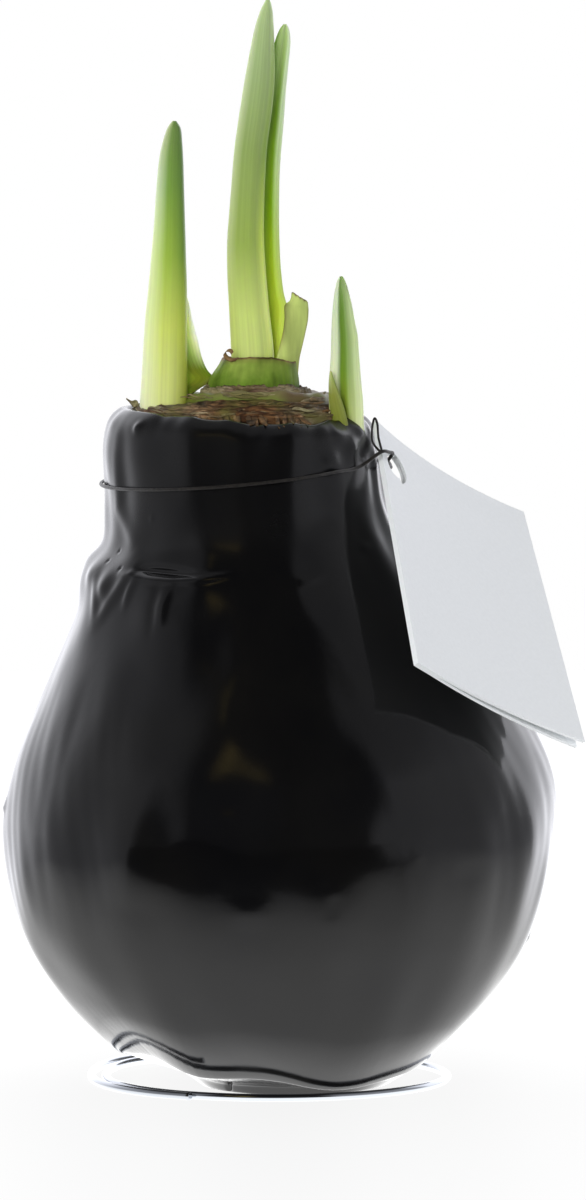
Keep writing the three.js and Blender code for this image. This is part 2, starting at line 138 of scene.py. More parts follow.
def room_colour(direction):
    """The brightness of the room round the table, in a direction from the bulb."""
    parts = parts_of(direction)
    turn = math_node("ARCTAN2", parts["X"], scaled(parts["Y"], -1))
    turn = scaled(turn, 0.5 / math.pi, 0.5)
    levels = [(-at, level) for at, level in reversed(room_left)] + room_right
    stops = [(round_room(at), tuple(level / brightest * tint for tint in wall_tint)) for at, level in levels]
    return add_ramp(turn, stops), turn, parts["Z"]


def soft_band(source, low, high, steepest):
    """A share that is 1 between two numbers and fades at both ends."""
    rim = min(soft_edge, (high - low) / steepest)
    return add_ramp(source, [(low, 0), (low + rim, 1), (high - rim, 1), (high, 0)])


def light_and_show(output, light, seen):
    """Lights the object with one shader and shows the camera another."""
    tree = light.id_data
    to_camera = add_node(tree, "LightPath").outputs["Is Camera Ray"]
    mixed = add_node(tree, "MixShader", {0: to_camera, 1: light.outputs[0], 2: seen.outputs[0]})
    add_node(tree, output, {"Surface": mixed.outputs[0]})


room = bpy.data.worlds.new("room")
room.use_nodes = True
bpy.context.scene.world = room
tree = room.node_tree
tree.nodes.clear()
walls, turn, rise = room_colour(add_node(tree, "TexCoord").outputs["Generated"])
walls = mix_colours(1, walls, add_ramp(rise, wall_fade), "MULTIPLY")
walls = mix_colours(add_ramp(rise, ceiling_share), walls, ceiling_grey)
half_rise = scaled(rise, 0.5, 0.5)  # a ramp reads 0 to 1, and what is level is 0.5 here
for (first, last), (low, high), colour in room_things:
    beside = soft_band(turn, round_room(first), round_room(last), 2.2)
    above = soft_band(half_rise, 0.5 + low / 2, 0.5 + high / 2, 2.5)
    share = math_node("MULTIPLY", beside, above)
    walls = mix_colours(share, walls, tuple(c / brightest for c in colour))
around = add_node(tree, "Background", {"Strength": brightest, "Color": walls})
behind = add_node(tree, "Background", {"Strength": 1, "Color": (1, 1, 1, 1)})
light_and_show("OutputWorld", around, behind)

lamp_target = (0, 0, 120)


def add_lamp(name, place, size, power):
    """A soft square lamp, which lights the object but isn't mirrored in it."""
    lamp_data = bpy.data.lights.new(name, "AREA")
    lamp_data.size = size * mm
    lamp_data.energy = power
    lamp = put_in_scene(name, lamp_data)
    lamp.location = [v * mm for v in place]
    x, y, z = np.subtract(place, lamp_target)
    lamp.rotation_euler = (math.atan2(math.hypot(x, y), z), 0, math.atan2(x, -y))
    lamp.visible_glossy = False


add_lamp("front_lamp", (-500, -1300, 500), 900, 19)
add_lamp("right_lamp", (900, -900, 300), 700, 2)

floor_front, floor_back, floor_half = -420, 700, 700
lit_front, lit_back = -128, -50  # the table is lit from here back, and dark nearer the camera
lit_depth = [(0, 0.025), (0.16, 0.42), (0.5, 0.75), (1, 1)]
dark_front = [(-55, 1), (-47, 0.12), (42, 0.12), (47, 1)]
round_foot = [(0, 0.85), (0.083, 0.93), (0.25, 0.76), (0.37, 0.67), (0.75, 0.67), (0.92, 0.85)]
far_off, near_level, table_level = 400, 1.75, 1.05

corners = [(-floor_half, floor_front), (floor_half, floor_front), (floor_half, floor_back),
           (-floor_half, floor_back)]
floor_mesh = bpy.data.meshes.new("table")
floor_mesh.from_pydata([(x * mm, y * mm, 0) for x, y in corners], [], [(0, 1, 2, 3)])
table = put_in_scene("table", floor_mesh)
table_paint = bpy.data.materials.new("white_table")
table_paint.use_nodes = True
tree = table_paint.node_tree
tree.nodes.clear()
spot = add_node(tree, "TexCoord").outputs["Object"]
# The light that the table sends up: the room's light far off, and soft light near the bulb.
far_light, turn, _ = room_colour(spot)
unlit = add_ramp(turn, [(round_room(at), level) for at, level in dark_front])
far_light = mix_colours(1, far_light, unlit, "MULTIPLY")
far_light = mix_colours(1, far_light, (brightest,) * 3, "MULTIPLY")
place = parts_of(spot)
lit_span = (lit_back - lit_front) * mm
depth = scaled(place["Y"], 1 / lit_span, -lit_front * mm / lit_span)
distance = add_node(tree, "VectorMath", {0: spot}, operation="LENGTH").outputs["Value"]
away = add_ramp(scaled(distance, 1 / (far_off * mm)), [(0.2, 0), (0.6, 1)])
near_light = math_node("MULTIPLY", add_ramp(depth, lit_depth), add_ramp(turn, round_foot))
near_light = scaled(near_light, near_level)
# Light gathers under the belly, round the foot.
gathered = add_ramp(scaled(distance, 20), [(0.6, 1), (0.76, 0)])
near_light = math_node("MULTIPLY", near_light, scaled(gathered, 0.85, 1))
glow = mix_colours(away, near_light, far_light)
lit = add_node(tree, "Emission", {"Color": glow, "Strength": table_level})
# What the camera sees: white, with a painted soft shadow and reflection of the bulb in front of it.
# The painted shadow: strongest straight in front of the bulb, fading sideways and further forward.
sideways = scaled(math_node("ABSOLUTE", place["X"]), 10)
shadow_across = add_ramp(sideways, [(0, 1), (0.25, 0.62), (0.5, 0.14), (0.72, 0)], "EASE")
shadow_along = add_ramp(scaled(place["Y"], 2.5, 0.8), [(0.2, 0.4), (0.66, 0.85), (0.8, 1), (1, 0)])
white_less_shadow = scaled(math_node("MULTIPLY", shadow_across, shadow_along), -0.082, 0.953)
whiter = add_ramp(scaled(place["Y"], 5, 0.2), [(0.1, 0), (0.6, 1)])
clear = add_node(tree, "Emission", {"Strength": scaled(whiter, 0.06, white_less_shadow), "Color": (1, 1, 1, 1)})
matt = add_node(tree, "BsdfDiffuse", {"Color": (0.05, 0.05, 0.05, 1)})
clear = add_node(tree, "AddShader", {0: clear.outputs[0], 1: matt.outputs[0]})
light_and_show("OutputMaterial", lit, clear)
floor_mesh.materials.append(table_paint)

# ---- Wax coat ----
# The bulb is dipped in molten black wax up to its neck. The wax sets as one glossy skin, with
# a sagging ledge at the shoulder, soft ribs over the bulb's scales and a rolled lower edge.

# Distance from the bulb's axis and height, at the left and at the right, and what the front adds.
wax_outline = np.array([
    [(13.3, 0), (18.5, 0), (3.6, 0)],  # edge of the foot
    [(16.4, 1.9), (20.6, 1.2), (1.7, 0.1)],  # top of the foot's side
    [(22.2, 3.9), (24.2, 3.6), (0, -0.2)],
    [(26.7, 5.5), (26.6, 5.5), (0, 0)],  # under the lower edge
    [(27, 5.55), (26.9, 5.55), (0, 0)],  # lower edge of the coat
    [(29.7, 7.7), (29.2, 7.7), (0, 0)],
    [(36.9, 15.1), (36.1, 15.1), (0, 0)],
    [(43.6, 26.5), (42.5, 26.5), (0, 0)],
    [(46.2, 42), (46.1, 43), (0, 0)],  # widest
    [(44.2, 53.5), (45.3, 53.5), (0, 0)],
    [(38.4, 67.5), (38.7, 67.5), (0, 0)],
    [(33.8, 79), (30.8, 78), (0.65, 0)],
    [(32.2, 86.6), (25, 85), (1.1, -1.3)],  # edge of the shoulder ledge
    [(29.5, 90.4), (20.2, 91), (0.8, 1.5)],  # foot of the neck
    [(29, 97), (17.2, 97.5), (0.9, 0)],
    [(29.4, 106.5), (16.3, 106), (0, 0)],
    [(28.5, 110.5), (15.4, 109.6), (0, 0)],
    [(26.4, 112.6), (13.8, 111.5), (0, 0)],  # top of the rim
    [(24.8, 113), (12.6, 111.9), (0, 0)],
])
spans = len(wax_outline) - 1
# How the lower edge wanders: direction in degrees, and how far it rises there.
lower_edge = [(-170, -0.4), (-146, 0.9), (-134, -0.1), (-125, -2), (-113, -2.5), (-104, -2), (-90, -2.4),
              (-76, -4.1), (-65, -4.3), (-46, -2.8), (-36, -2.2), (-12, 0.8), (35, 1.2), (95, -1.2),
              (150, 0.4)]
# Drops and rises of the rim: direction in degrees, height and spread.
rim_waves = [(-88, -0.5, 26), (-150, 0.5, 24), (120, 0.4, 30), (-40, 0.5, 9), (-128, 0.35, 4), (-112, 0.3, 4),
             (-101, -0.3, 3), (-84, 0.3, 4), (-72, -0.3, 4), (-60, 0.3, 3), (-140, -0.3, 3)]
rib_count, rib_height, rib_from, rib_to, rib_fade = 22, 0.04, 24, 72, 14
# Lumps and dents of set wax: direction, height up the bulb, how far out, width, height.
lumps = [
    (186, 84, 0.6, 4, 4), (-179, 88.4, 0.45, 3, 1.6), (-128, 81, 0.5, 5, 5), (-158, 78, 0.5, 5, 6),
    (110, 82, 0.8, 7, 7), (-147.7, 110.4, 0.5, 0.9, 0.8),
    (-152.5, 84.4, 0.7, 2, 2.2), (-163, 86, 0.5, 2.2, 2),  # drops on the left
    (-154.5, 89.9, -0.25, 0.3, 0.25), (-157.3, 88.2, -0.3, 0.3, 0.25),  # pinholes
    (-147.3, 87.4, -0.3, 0.3, 0.25),
    (-140.6, 87.2, 0.3, 0.8, 0.5), (-138.9, 95.9, 0.12, 0.4, 0.35), (-80.3, 102.7, 0.15, 0.5, 0.4),
    (-66, 103.6, -0.35, 1.6, 1.1), (-64, 105.6, 0.3, 1.5, 1.2), (-56, 100, 0.25, 3, 3), (-70, 97, -0.2, 3, 3),
    (-57, 109.4, 0.5, 1.6, 1.5), (-48, 107.2, 0.45, 1.5, 1.4), (-38, 109.8, 0.7, 2, 1.6),
    (-50, 110.9, -0.5, 1.4, 0.9), (-30, 107.5, 0.4, 1.6, 1.6), (-20, 110.5, 0.5, 2, 1.5),  # by the right leaf
    (-51.6, 91.1, 0.25, 1.5, 0.7), (4, 98.5, 0.5, 12, 8),
    (-100.7, 50.9, -0.28, 2.6, 1.4), (-91.5, 50.1, -0.16, 1.4, 0.8), (-96.1, 33, 0.3, 3.4, 2),  # on the belly
    (-80.5, 36.4, -0.14, 1, 0.5), (-78.9, 33.9, -0.18, 1.6, 0.8), (-60.2, 42.8, 0.12, 1.4, 1.8),
    (-46.4, 38.2, -0.14, 3.4, 1.6), (-174.4, 46.6, 0.4, 1, 0.7), (-4, 24.5, 0.35, 0.9, 0.9),
    (-108, 46, 0.22, 4, 3), (-83, 44, 0.2, 4, 3.4), (-118, 41, -0.16, 4, 3), (-66, 47, -0.14, 5, 4),
    (-100, 62, 0.2, 4, 5), (-104, 73, -0.2, 4, 5),
]
# Folds, drips and creases: how far out, how wide, and the route, by direction and height.
strokes = [
    (0.3, 1.5, [(-159, 111.5), (-158.5, 104), (-158, 97), (-152, 94), (-144.5, 91)]),  # fold down the neck
    (0.45, 0.55, [(-146, 86.7), (-137, 86.4), (-127, 86.2), (-116, 86.5), (-106, 87.4)]),  # lip of the slit
    (0.36, 1.2, [(-141.5, 87.2), (-145, 84), (-148.5, 81.6), (-152, 78.6)]),  # two drips that meet
    (0.28, 0.8, [(-138.2, 86.6), (-139.6, 84.4), (-141, 81.5)]),
    (0.28, 1.1, [(-159.5, 86.6), (-156.5, 82.4), (-153.5, 78.2)]),
    (0.2, 0.9, [(-125, 85.4), (-126, 82), (-125.6, 78.5)]),
    (-0.26, 0.8, [(-128.6, 85.2), (-129.2, 82), (-128.2, 77.5)]),
    (0.2, 0.7, [(-84, 86.3), (-79, 86.6), (-74, 87.4)]),  # crease at the right of the ledge
    (-0.9, 0.45, [(-118.5, 0.1), (-117.5, 1.2), (-115, 3.4)]),  # nick in the foot
    (0.35, 0.5, [(-41, 3.4), (-38.5, 4.8)]),
    (0.85, 5, [(-123, 33), (-122, 42), (-121, 51)]),  # broad swelling at the left of the belly
]
# The slit on the ledge, cut to a sharp bottom: how far in, how wide, and its route.
slit_depth, slit_width, slit_route = 1.5, 0.62, [(-141.5, 87.6), (-134, 87.5), (-126, 87.4), (-116, 87.3)]
streak_height = 0.075  # fine upright streaks on the flanks
# Broad unevenness all over: waves round, length up the bulb, lean, start and strength.
sag, slow_height, wave_count = np.random.default_rng(5), 0.03, 16
slow_waves = [(sag.integers(3, 26), sag.uniform(9, 34), sag.uniform(-1, 1), sag.uniform(0, 2 * math.pi),
               sag.uniform(0.5, 1.4)) for _ in range(wave_count)]
# The neck: its middle, where it begins and is whole, its mouth, and how high the bulb is in it.
neck_x, neck_from, neck_whole, mouth_radius, neck_floor = -6, 88, 94, 19.9, 111.4


def circle(x, radius, angle, height):
    """Points round an upright axis that stands at x."""
    return np.stack(np.broadcast_arrays(x + radius * np.cos(angle), radius * np.sin(angle), height), axis=-1)


def smoothstep(value, low, high):
    """Rises softly from 0 to 1 between two values."""
    share = np.clip((np.asarray(value, float) - low) / (high - low), 0, 1)
    return share * share * (3 - 2 * share)


def through(points, shares, closed=False):
    """Points on a smooth curve through others, by share of its spans."""
    points = np.asarray(points, float)
    if closed:
        points = np.concatenate([points[-1:], points, points[:2]])
    else:
        points = np.concatenate([2 * points[:1] - points[1:2], points, 2 * points[-1:] - points[-2:-1]])
    count = len(points) - 3
    found = []
    for share in shares:
        i = min(int(share * count), count - 1)
        t = share * count - i
        steps = np.diff(points[i:i + 4], axis=0)
        s0, s1, s2 = steps
        d0, d1, d2 = np.sqrt(np.linalg.norm(steps, axis=-1, keepdims=True))
        d1 = np.where(d1 < 1e-4, 1, d1)
        d0, d2 = (np.where(d < 1e-4, d1, d) for d in (d0, d2))
        t1 = (s0 / d0 - (s0 + s1) / (d0 + d1) + s1 / d1) * d1
        t2 = (s1 / d1 - (s1 + s2) / (d1 + d2) + s2 / d2) * d1
        found.append(points[i + 1] + t1 * t + (3 * s1 - 2 * t1 - t2) * t ** 2 + (t1 + t2 - 2 * s1) * t ** 3)
    return np.array(found)


def turn_between(angle, degrees):
    """How far apart two directions are, in radians, the short way round."""
    away = np.abs(angle - math.radians(degrees)) % (2 * math.pi)
    return np.minimum(away, 2 * math.pi - away)


def wave_height(waves, angle):
    """How much a list of waves lifts an edge in each direction."""
    return sum(height * np.exp(-(turn_between(angle, at) / math.radians(spread)) ** 2)
               for at, height, spread in waves)


def edge_rise(angle):
    """How much the lower edge rises in each direction, evened out over a few degrees."""
    at, rise = np.array(lower_edge).T
    nearby = (-6, -3, 0, 3, 6)
    return sum(np.interp(np.degrees(angle) + turn, at, rise, period=360) for turn in nearby) / len(nearby)


def wax_curve(angle, shares):
    """The coat's outline without its relief: distance and height, by share and direction."""
    to_right = (1 + np.cos(angle[:, None])) / 2
    to_front = np.maximum(0, -np.sin(angle[:, None])) ** 2
    rows = [left + (right - left) * to_right + front * to_front for left, right, front in wax_outline]
    return through(rows, shares)


def skin(name, stacks, marks=None, ends=(True, True), hoop=False, plain=False):
    """Skins stacks of closed rings of points, in millimetres, and closes their ends: with a fan, or
    with one plain face. In a hoop, the last ring joins the first. Marks number each point."""
    points, faces = [], []
    marked = {mark: [] for mark in marks or {}}
    for k, rings in enumerate(stacks):
        rings = np.asarray(rings, float)
        rows, sides = rings.shape[:2]
        start = len(points)
        i = np.arange(sides)
        j = (i + 1) % sides
        for row in range(rows if hoop else rows - 1):
            low, high = start + row * sides, start + (row + 1) % rows * sides
            faces += np.stack([low + i, low + j, high + j, high + i], axis=1).tolist()
        points += rings.reshape(-1, 3).tolist()
        for mark, values in marked.items():
            values += np.ravel(marks[mark][k]).tolist()
        for end, row in ((0, 0), (1, rows - 1)):
            if hoop or not ends[end]:
                continue
            hub, rim = len(points), start + row * sides
            if plain:
                faces.append((rim + i if end else rim + i[::-1]).tolist())
                continue
            faces += [(hub, rim + a, rim + b) if end else (hub, rim + b, rim + a) for a, b in zip(i, j)]
            points.append(rings[row].mean(axis=0).tolist())
            for mark, values in marked.items():
                values.append(np.mean(marks[mark][k][row]))
    mesh = bpy.data.meshes.new(name)
    mesh.from_pydata((np.array(points) * mm).tolist(), [], faces)
    for mark, values in marked.items():
        mesh.attributes.new(mark, "FLOAT", "POINT").data.foreach_set("value", values)
    mesh.shade_smooth()
    return put_in_scene(name, mesh)


def from_route(angle, height, radius, route):
    """How far places on the coat are from a route over it, and its strength, which fades at its ends."""
    least = np.full(np.broadcast(angle, height).shape, 1e9)
    along_route = np.zeros_like(least)
    for i, ((a0, h0), (a1, h1)) in enumerate(zip(route, route[1:])):
        across = ((angle - math.radians(a0) + math.pi) % (2 * math.pi) - math.pi) * radius
        run, rise = math.radians(a1 - a0) * radius, h1 - h0
        share = np.clip((across * run + (height - h0) * rise) / (run * run + rise * rise), 0, 1)
        reach = np.hypot(across - share * run, height - h0 - share * rise)
        along_route = np.where(reach < least, (i + share) / (len(route) - 1), along_route)
        least = np.minimum(least, reach)
    return least, np.sin(math.pi * (0.04 + 0.92 * along_route))


def relief(angle, height, radius):
    """How far the wax stands out at each place."""
    in_belly = smoothstep(height, rib_from, rib_from + rib_fade)
    in_belly = in_belly * (1 - smoothstep(height, rib_to - rib_fade, rib_to))
    flank = np.maximum(0, np.abs(np.cos(angle)) - 0.35)
    out = rib_height * np.sin(rib_count * angle + 1.3 * np.sin(3 * angle)) * in_belly
    streaky = np.sin(47 * angle + height / 4.5 + 2 * np.sin(height / 9) + 1.5 * np.sin(5 * angle))
    streaky = streaky * np.sin(height / 7 + 9 * angle + 2 * np.sin(11 * angle))
    out = out + streak_height * flank * streaky * in_belly
    for at, middle, stand, wide, tall in lumps:
        across = radius * turn_between(angle, at)
        out = out + stand * np.exp(-(across / wide) ** 2 - ((height - middle) / tall) ** 2)
    for stand, wide, route in strokes:
        reach, strength = from_route(angle, height, radius, route)
        out = out + stand * np.exp(-(reach / wide) ** 2) * strength ** 0.6
    reach, strength = from_route(angle, height, radius, slit_route)
    out = out - slit_depth * np.exp(-reach / slit_width) * strength
    swell = slow_height * smoothstep(height, 8, 20) * (1 + 0.3 * smoothstep(height, neck_from, neck_whole))
    for turns, length, lean, start, size in slow_waves:
        out = out + swell * size * np.sin(turns * angle + start + lean * 2 * math.pi * height / length)
    near_rim = smoothstep(height, 107.5, 111)
    ripple = 0.12 * np.sin(9 * angle + 1)
    ripple = ripple + 0.1 * np.sin(17 * angle + 3 * np.sin(2 * angle)) * np.sin(3 * angle + height)
    return out + near_rim * ripple


def wax_surface(angle, shares):
    """The coat's outside: points by share of the outline and by direction."""
    curve = wax_curve(angle, shares)
    radius, height = curve[..., 0], curve[..., 1]
    near_edge = np.clip((height - 1.3) / 4.4, 0, 1) * (1 - smoothstep(height, 5.7, 24))
    near_rim = smoothstep(height, 106, 112.6)
    radius = radius + relief(angle, height, radius)
    height = height + near_edge * edge_rise(angle) + near_rim * wave_height(rim_waves, angle)
    return circle(0, radius, angle, height)


def mouth_ring(angle, inset, level):
    """A ring round the neck's own axis, through the same directions as the coat's columns."""
    radius = mouth_radius + inset + 0.35 * np.sin(5 * angle) + 0.2 * np.sin(11 * angle)
    return circle(neck_x, radius, angle, level)


front_columns, back_columns = 290, 120
wax_angles = np.concatenate([np.linspace(-math.pi, 0, front_columns, endpoint=False),
                             np.linspace(0, math.pi, back_columns, endpoint=False)])
# Rows in each span of the outline: closer together at the foot, at the ledge and at the rim.
row_counts = [8, 8, 8, 12, 12, 12, 11, 11, 11, 11, 12, 17, 16, 15, 15, 10, 9]
wax_shares = [np.linspace(k, k + 1, n, endpoint=False) for k, n in enumerate(row_counts)]
wax_shares = np.concatenate(wax_shares + [[len(row_counts)]]) / spans
wax_rings = list(wax_surface(wax_angles, wax_shares))
lip = wax_rings[-1]
mouth_angle = np.arctan2(lip[:, 1], lip[:, 0] - neck_x)
wax_rings.append(mouth_ring(mouth_angle, -0.7, lip[:, 2] - 0.15))
for drop, inset in ((0.7, -0.9), (1.6, -0.8), (2.2, -0.3)):
    wax_rings.append(mouth_ring(mouth_angle, inset, np.maximum(lip[:, 2] - drop, neck_floor - 1)))
dipped_wax = skin("dipped_wax", [wax_rings], ends=(True, False))


def new_finish(name, **plain):
    """Starts a finish with its plain values: the finish, its shader and the place of each spot."""
    finish = bpy.data.materials.new(name)
    finish.use_nodes = True
    shader = finish.node_tree.nodes["Principled BSDF"]
    for socket, value in plain.items():
        shader.inputs[socket.replace("_", " ")].default_value = value
    return finish, shader, add_node(finish.node_tree, "TexCoord").outputs["Object"]


def paint(shader, **sources):
    """Links what nodes give to the shader."""
    for socket, source in sources.items():
        shader.id_data.links.new(source, shader.inputs[socket.replace("_", " ")])


def noise(spot, scale, detail, **more):
    """Cloudy noise, from 0 to 1."""
    values = {"Vector": spot, "Scale": scale, "Detail": detail, **more}
    return add_node(spot.id_data, "TexNoise", values).outputs["Fac"]


def stretched(spot, scale):
    """Places drawn out, for a noise with a grain."""
    return add_node(spot.id_data, "Mapping", {"Vector": spot, "Scale": scale}).outputs[0]


def mark(shader, name):
    """The number marked on each point of a piece."""
    return add_node(shader.id_data, "Attribute", attribute_name=name).outputs["Fac"]


def bump(height, strength, depth):
    """Fine relief, in millimetres."""
    values = {"Strength": strength, "Distance": depth * mm, "Height": height}
    return add_node(height.id_data, "Bump", values).outputs[0]


wax_finish, shader, spot = new_finish("black_wax", IOR=1.45)
black = add_ramp(noise(spot, 60, 4), [(0.35, (0.0026, 0.0026, 0.003)), (0.7, (0.0042, 0.004, 0.0038))])
dull = add_ramp(noise(spot, 140, 5), [(0.3, 0.09), (0.75, 0.16)])
# The neck was dipped only once, and is a little duller than the rest.
duller = add_ramp(scaled(parts_of(spot)["Z"], 8), [(0.69, 0), (0.75, 0.13)])
dull = math_node("ADD", dull, duller)
paint(shader, Base_Color=black, Roughness=dull, Normal=bump(noise(spot, 220, 3), 0.12, 0.2))
dipped_wax.data.materials.append(wax_finish)
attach(dipped_wax, "root")
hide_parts("wax_coat")

# ---- Bulb ----
# The living bulb fills the coat. Only its cut neck shows: fleshy scales, cut in steps that rise
# towards the middle, green where they are fresh and brown where they have dried.

wax_thickness, clearance, neck_row = 1.8, 0.3, 15
fresh_from, fresh_over = 111.2, 5  # the cut flesh is brown at this height, and greener above it
core_depth = wax_thickness + clearance


def unit(ways):
    """Directions of length 1."""
    return ways / np.linalg.norm(ways, axis=-1, keepdims=True)


bulb_angles = np.linspace(-math.pi, math.pi, 120, endpoint=False)
core_shares = np.linspace(0, neck_row, 60) / spans
core = wax_curve(bulb_angles, core_shares)
just_over, just_under = core_shares + 1e-4, np.maximum(0, core_shares - 1e-4)
slope = unit(wax_curve(bulb_angles, just_over) - wax_curve(bulb_angles, just_under))
radius = core[..., 0] - slope[..., 1] * core_depth
height = core[..., 1] + slope[..., 0] * core_depth
bulb_rings = list(circle(0, radius, bulb_angles, height))

# The cut steps, inwards: middle, radius, height, unevenness, and what the front adds in height.
cut_steps = [
    (neck_x, 19, neck_floor - 1.3, 0, 0), (neck_x, 19, neck_floor - 0.2, 0, 0),
    (neck_x, 18.6, neck_floor, 0, 0), (neck_x, 15.9, neck_floor + 0.1, 0, 0),
    (-5.9, 15.4, 112.4, 0.05, 0), (-5.8, 15.1, 112.7, 0.1, 1),
    (-5.4, 14.5, 112.9, 0.1, 1.2), (-4.2, 13.2, 113, 0.08, 1.4), (-3.5, 12.7, 113.5, 0.12, 1.5),
    (-3.3, 12.5, 114.3, 0.16, 1.6), (-3.3, 12.1, 114.9, 0.18, 1.5), (-3.3, 11.5, 115.1, 0.16, 1.3),
    (-3.4, 9.3, 114.9, 0.1, 1.2), (-3.6, 5, 114.8, 0, 0.6),
]
front_share = np.maximum(0, -np.sin(bulb_angles)) ** 1.5
for x, radius, height, ragged, rise in cut_steps:
    uneven = ragged * (np.sin(9 * bulb_angles) + 0.6 * np.sin(20 * bulb_angles + 1))
    bulb_rings.append(circle(x, radius + 0.4 * uneven, bulb_angles, height + uneven + rise * front_share))
cut_bulb = skin("cut_bulb", [bulb_rings])

flesh, shader, spot = new_finish("bulb_flesh", Roughness=0.5)
parts = parts_of(spot)
mottle = noise(spot, 350, 5)
up = scaled(parts["Z"], 1 / (fresh_over * mm), -fresh_from / fresh_over)
up = math_node("ADD", up, scaled(mottle, 0.3, -0.15))
shade = add_ramp(up, [(0, (0.07, 0.028, 0.012)), (0.3, (0.1, 0.045, 0.02)), (0.48, (0.1, 0.08, 0.022)),
                      (0.6, (0.125, 0.15, 0.02)), (0.8, (0.15, 0.185, 0.03)), (1, (0.15, 0.13, 0.05))])
to_right = math_node("MINIMUM", scaled(parts["X"], 60, 0.12), 0.3)
dead = add_ramp(math_node("ADD", noise(spot, 170, 5), to_right), [(0.6, 0), (0.8, 0.8)])
shade = mix_colours(dead, shade, (0.1, 0.055, 0.025))
paint(shader, Base_Color=shade, Normal=bump(mottle, 0.5, 0.3))
cut_bulb.data.materials.append(flesh)
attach(cut_bulb, "root")
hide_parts("bulb")

# ---- Dry scales ----
# Two rings of brown papery skin: one round the edge of the cut neck, and a smaller one round
# the cut leaf. They are dead outer scales, torn off ragged in thin layers, and loose shreds of
# the same skin still hang on them.

paper_wall = 0.28
scale_angles = np.linspace(-math.pi, math.pi, 400, endpoint=False)
tear = np.random.default_rng(11)


def torn_line(angle, height, broadest=3):
    """An uneven line: many waves, from broad to fine."""
    line = np.zeros_like(angle)
    for teeth in (3, 5, 8, 13, 21, 34, 55):
        if teeth >= broadest:
            size = height * tear.uniform(0.5, 1.1) * (broadest / teeth) ** 0.4
            line += size * np.sin(teeth * angle + tear.uniform(0, 2 * math.pi))
    return line


def paper_ring(x, radius, foot, back_top, front_rise, ragged, lean):
    """A thin ring of papery skin, torn at the top; its rings go up outside and down inside."""
    a = scale_angles
    edge = back_top + front_rise * np.maximum(0, -np.sin(a)) ** 1.5 + torn_line(a, ragged)
    wander, curl = torn_line(a, 0.1), torn_line(a, 0.14, broadest=8)
    rings = []
    for up, inset in ((0, 0), (0.3, 0), (0.6, 0), (0.85, 0.02), (1, paper_wall / 2), (0.85, paper_wall),
                      (0.5, paper_wall), (0, paper_wall)):
        r = radius + wander - inset + lean * up + curl * up * up
        rings.append(circle(x, r, a, foot + (edge - foot) * up))
    return rings


def paler_places(layers, x):
    """How pale each place is: most at the left, and at the right of the front."""
    marks = []
    for k, rings in enumerate(np.array(layers)):
        a = np.arctan2(rings[..., 1], rings[..., 0] - x)
        at_left = np.exp(-(turn_between(a, -165) / 0.66) ** 2) * (0.75 + 0.35 * k / len(layers))
        marks.append(at_left + 0.6 * np.exp(-(turn_between(a, -52) / 0.22) ** 2))
    return {"pale": marks}


# Layers, inwards: middle, radius, foot, top at the back, rise at the front, raggedness and lean.
foot, core_foot, core_x = neck_floor + 0.1, 115, -4
outer_layers = [paper_ring(*layer) for layer in (
    (neck_x, 19.3, foot - 0.9, 112.2, 0.9, 0.16, -0.3),
    (neck_x, 18.7, foot, 112.5, 1.2, 0.2, -0.4),
    (neck_x, 18.1, foot, 112.7, 1.4, 0.16, -0.4),
    (neck_x, 17.5, foot, 112.8, 1.6, 0.2, -0.5),
    (neck_x, 16.8, foot, 113, 1.8, 0.16, -0.5),
    (neck_x + 0.1, 16.2, foot, 113.1, 1.9, 0.16, -0.5),
    (neck_x + 0.2, 15.6, foot, 113.1, 2.1, 0.12, -0.4),
)]
neck_skin = skin("neck_skin", outer_layers, paler_places(outer_layers, neck_x), hoop=True)
inner_layers = [paper_ring(*layer) for layer in (
    (core_x, 9.4, core_foot, 115.9, 0.5, 0.12, -0.3),
    (core_x - 0.1, 8.8, core_foot, 116.2, 0.6, 0.14, -0.3),
    (core_x - 0.2, 8.2, core_foot, 116.5, 0.7, 0.12, -0.3),
)]
core_skin = skin("core_skin", inner_layers, paler_places(inner_layers, core_x), hoop=True)

# Shreds: where each starts (direction, distance from the neck's middle, height), how far round,
# out and up it runs, its width and how pale it is.
shreds = [
    (-64, 18.6, 113.9, 13, 0.2, -0.5, 0.55, 1.4), (-41, 18.8, 112.9, 11, 0.2, -0.3, 0.5, 1.3),  # straw
    (-172, 17.6, 113.2, -2, 2, 1.2, 1.3, 1.5),  # flap at the left
    (-150, 18.2, 113, 34, 0.2, -0.1, 0.45, 0.9), (-118, 18.4, 113.1, 24, 0.3, 0.1, 0.5, 0.5),
]


def drawn(*ranges):
    """A number drawn from each range in turn, or the plain number."""
    return [tear.uniform(*span) if isinstance(span, tuple) else span for span in ranges]


edge_shreds = 46  # these lie on the cut edge, all along the front
for _ in range(edge_shreds):
    start, high = drawn((-168, -22), (0, 1))
    *runs, pale = drawn((5, 24), (-0.1, 0.7), (-0.5, 0.4), (0.2, 0.5), (0, 0.5))
    height = 112.4 + 2.4 * high * math.sin(math.radians(-start)) ** 0.5
    shreds.append((start, 19.6 - 3.2 * high, height, *runs, pale ** 1.5))
for count, *ranges in (
    # These curl up at the right.
    (9, (-52, -18), (13, 15.5), (113.8, 115.2), (6, 18), (-0.4, 0.8), (-0.6, 0.9), (0.4, 0.9), (0.1, 0.9)),
    # These lie on the green scales.
    (16, (-150, -40), 12.75, (114.6, 116.2), (8, 26), (-0.1, 0.5), (-0.5, 0.3), (0.2, 0.4), (0.2, 0.9)),
    # These hang down over the wax.
    (20, (-118, -56), 18.9, 112.8, (-4, 4), (2.2, 2.9), (-2, -1.1), (0.5, 1.1), 0.1),
    # These lie at the back.
    (16, (100, 330), 18, 112.9, (6, 24), (0, 0.6), (-0.4, 0.3), (0.3, 0.6), (0, 0.6)),
):
    shreds += [drawn(*ranges) for _ in range(count)]
shred_steps, shred_sides, shred_thick = 14, 8, 0.14


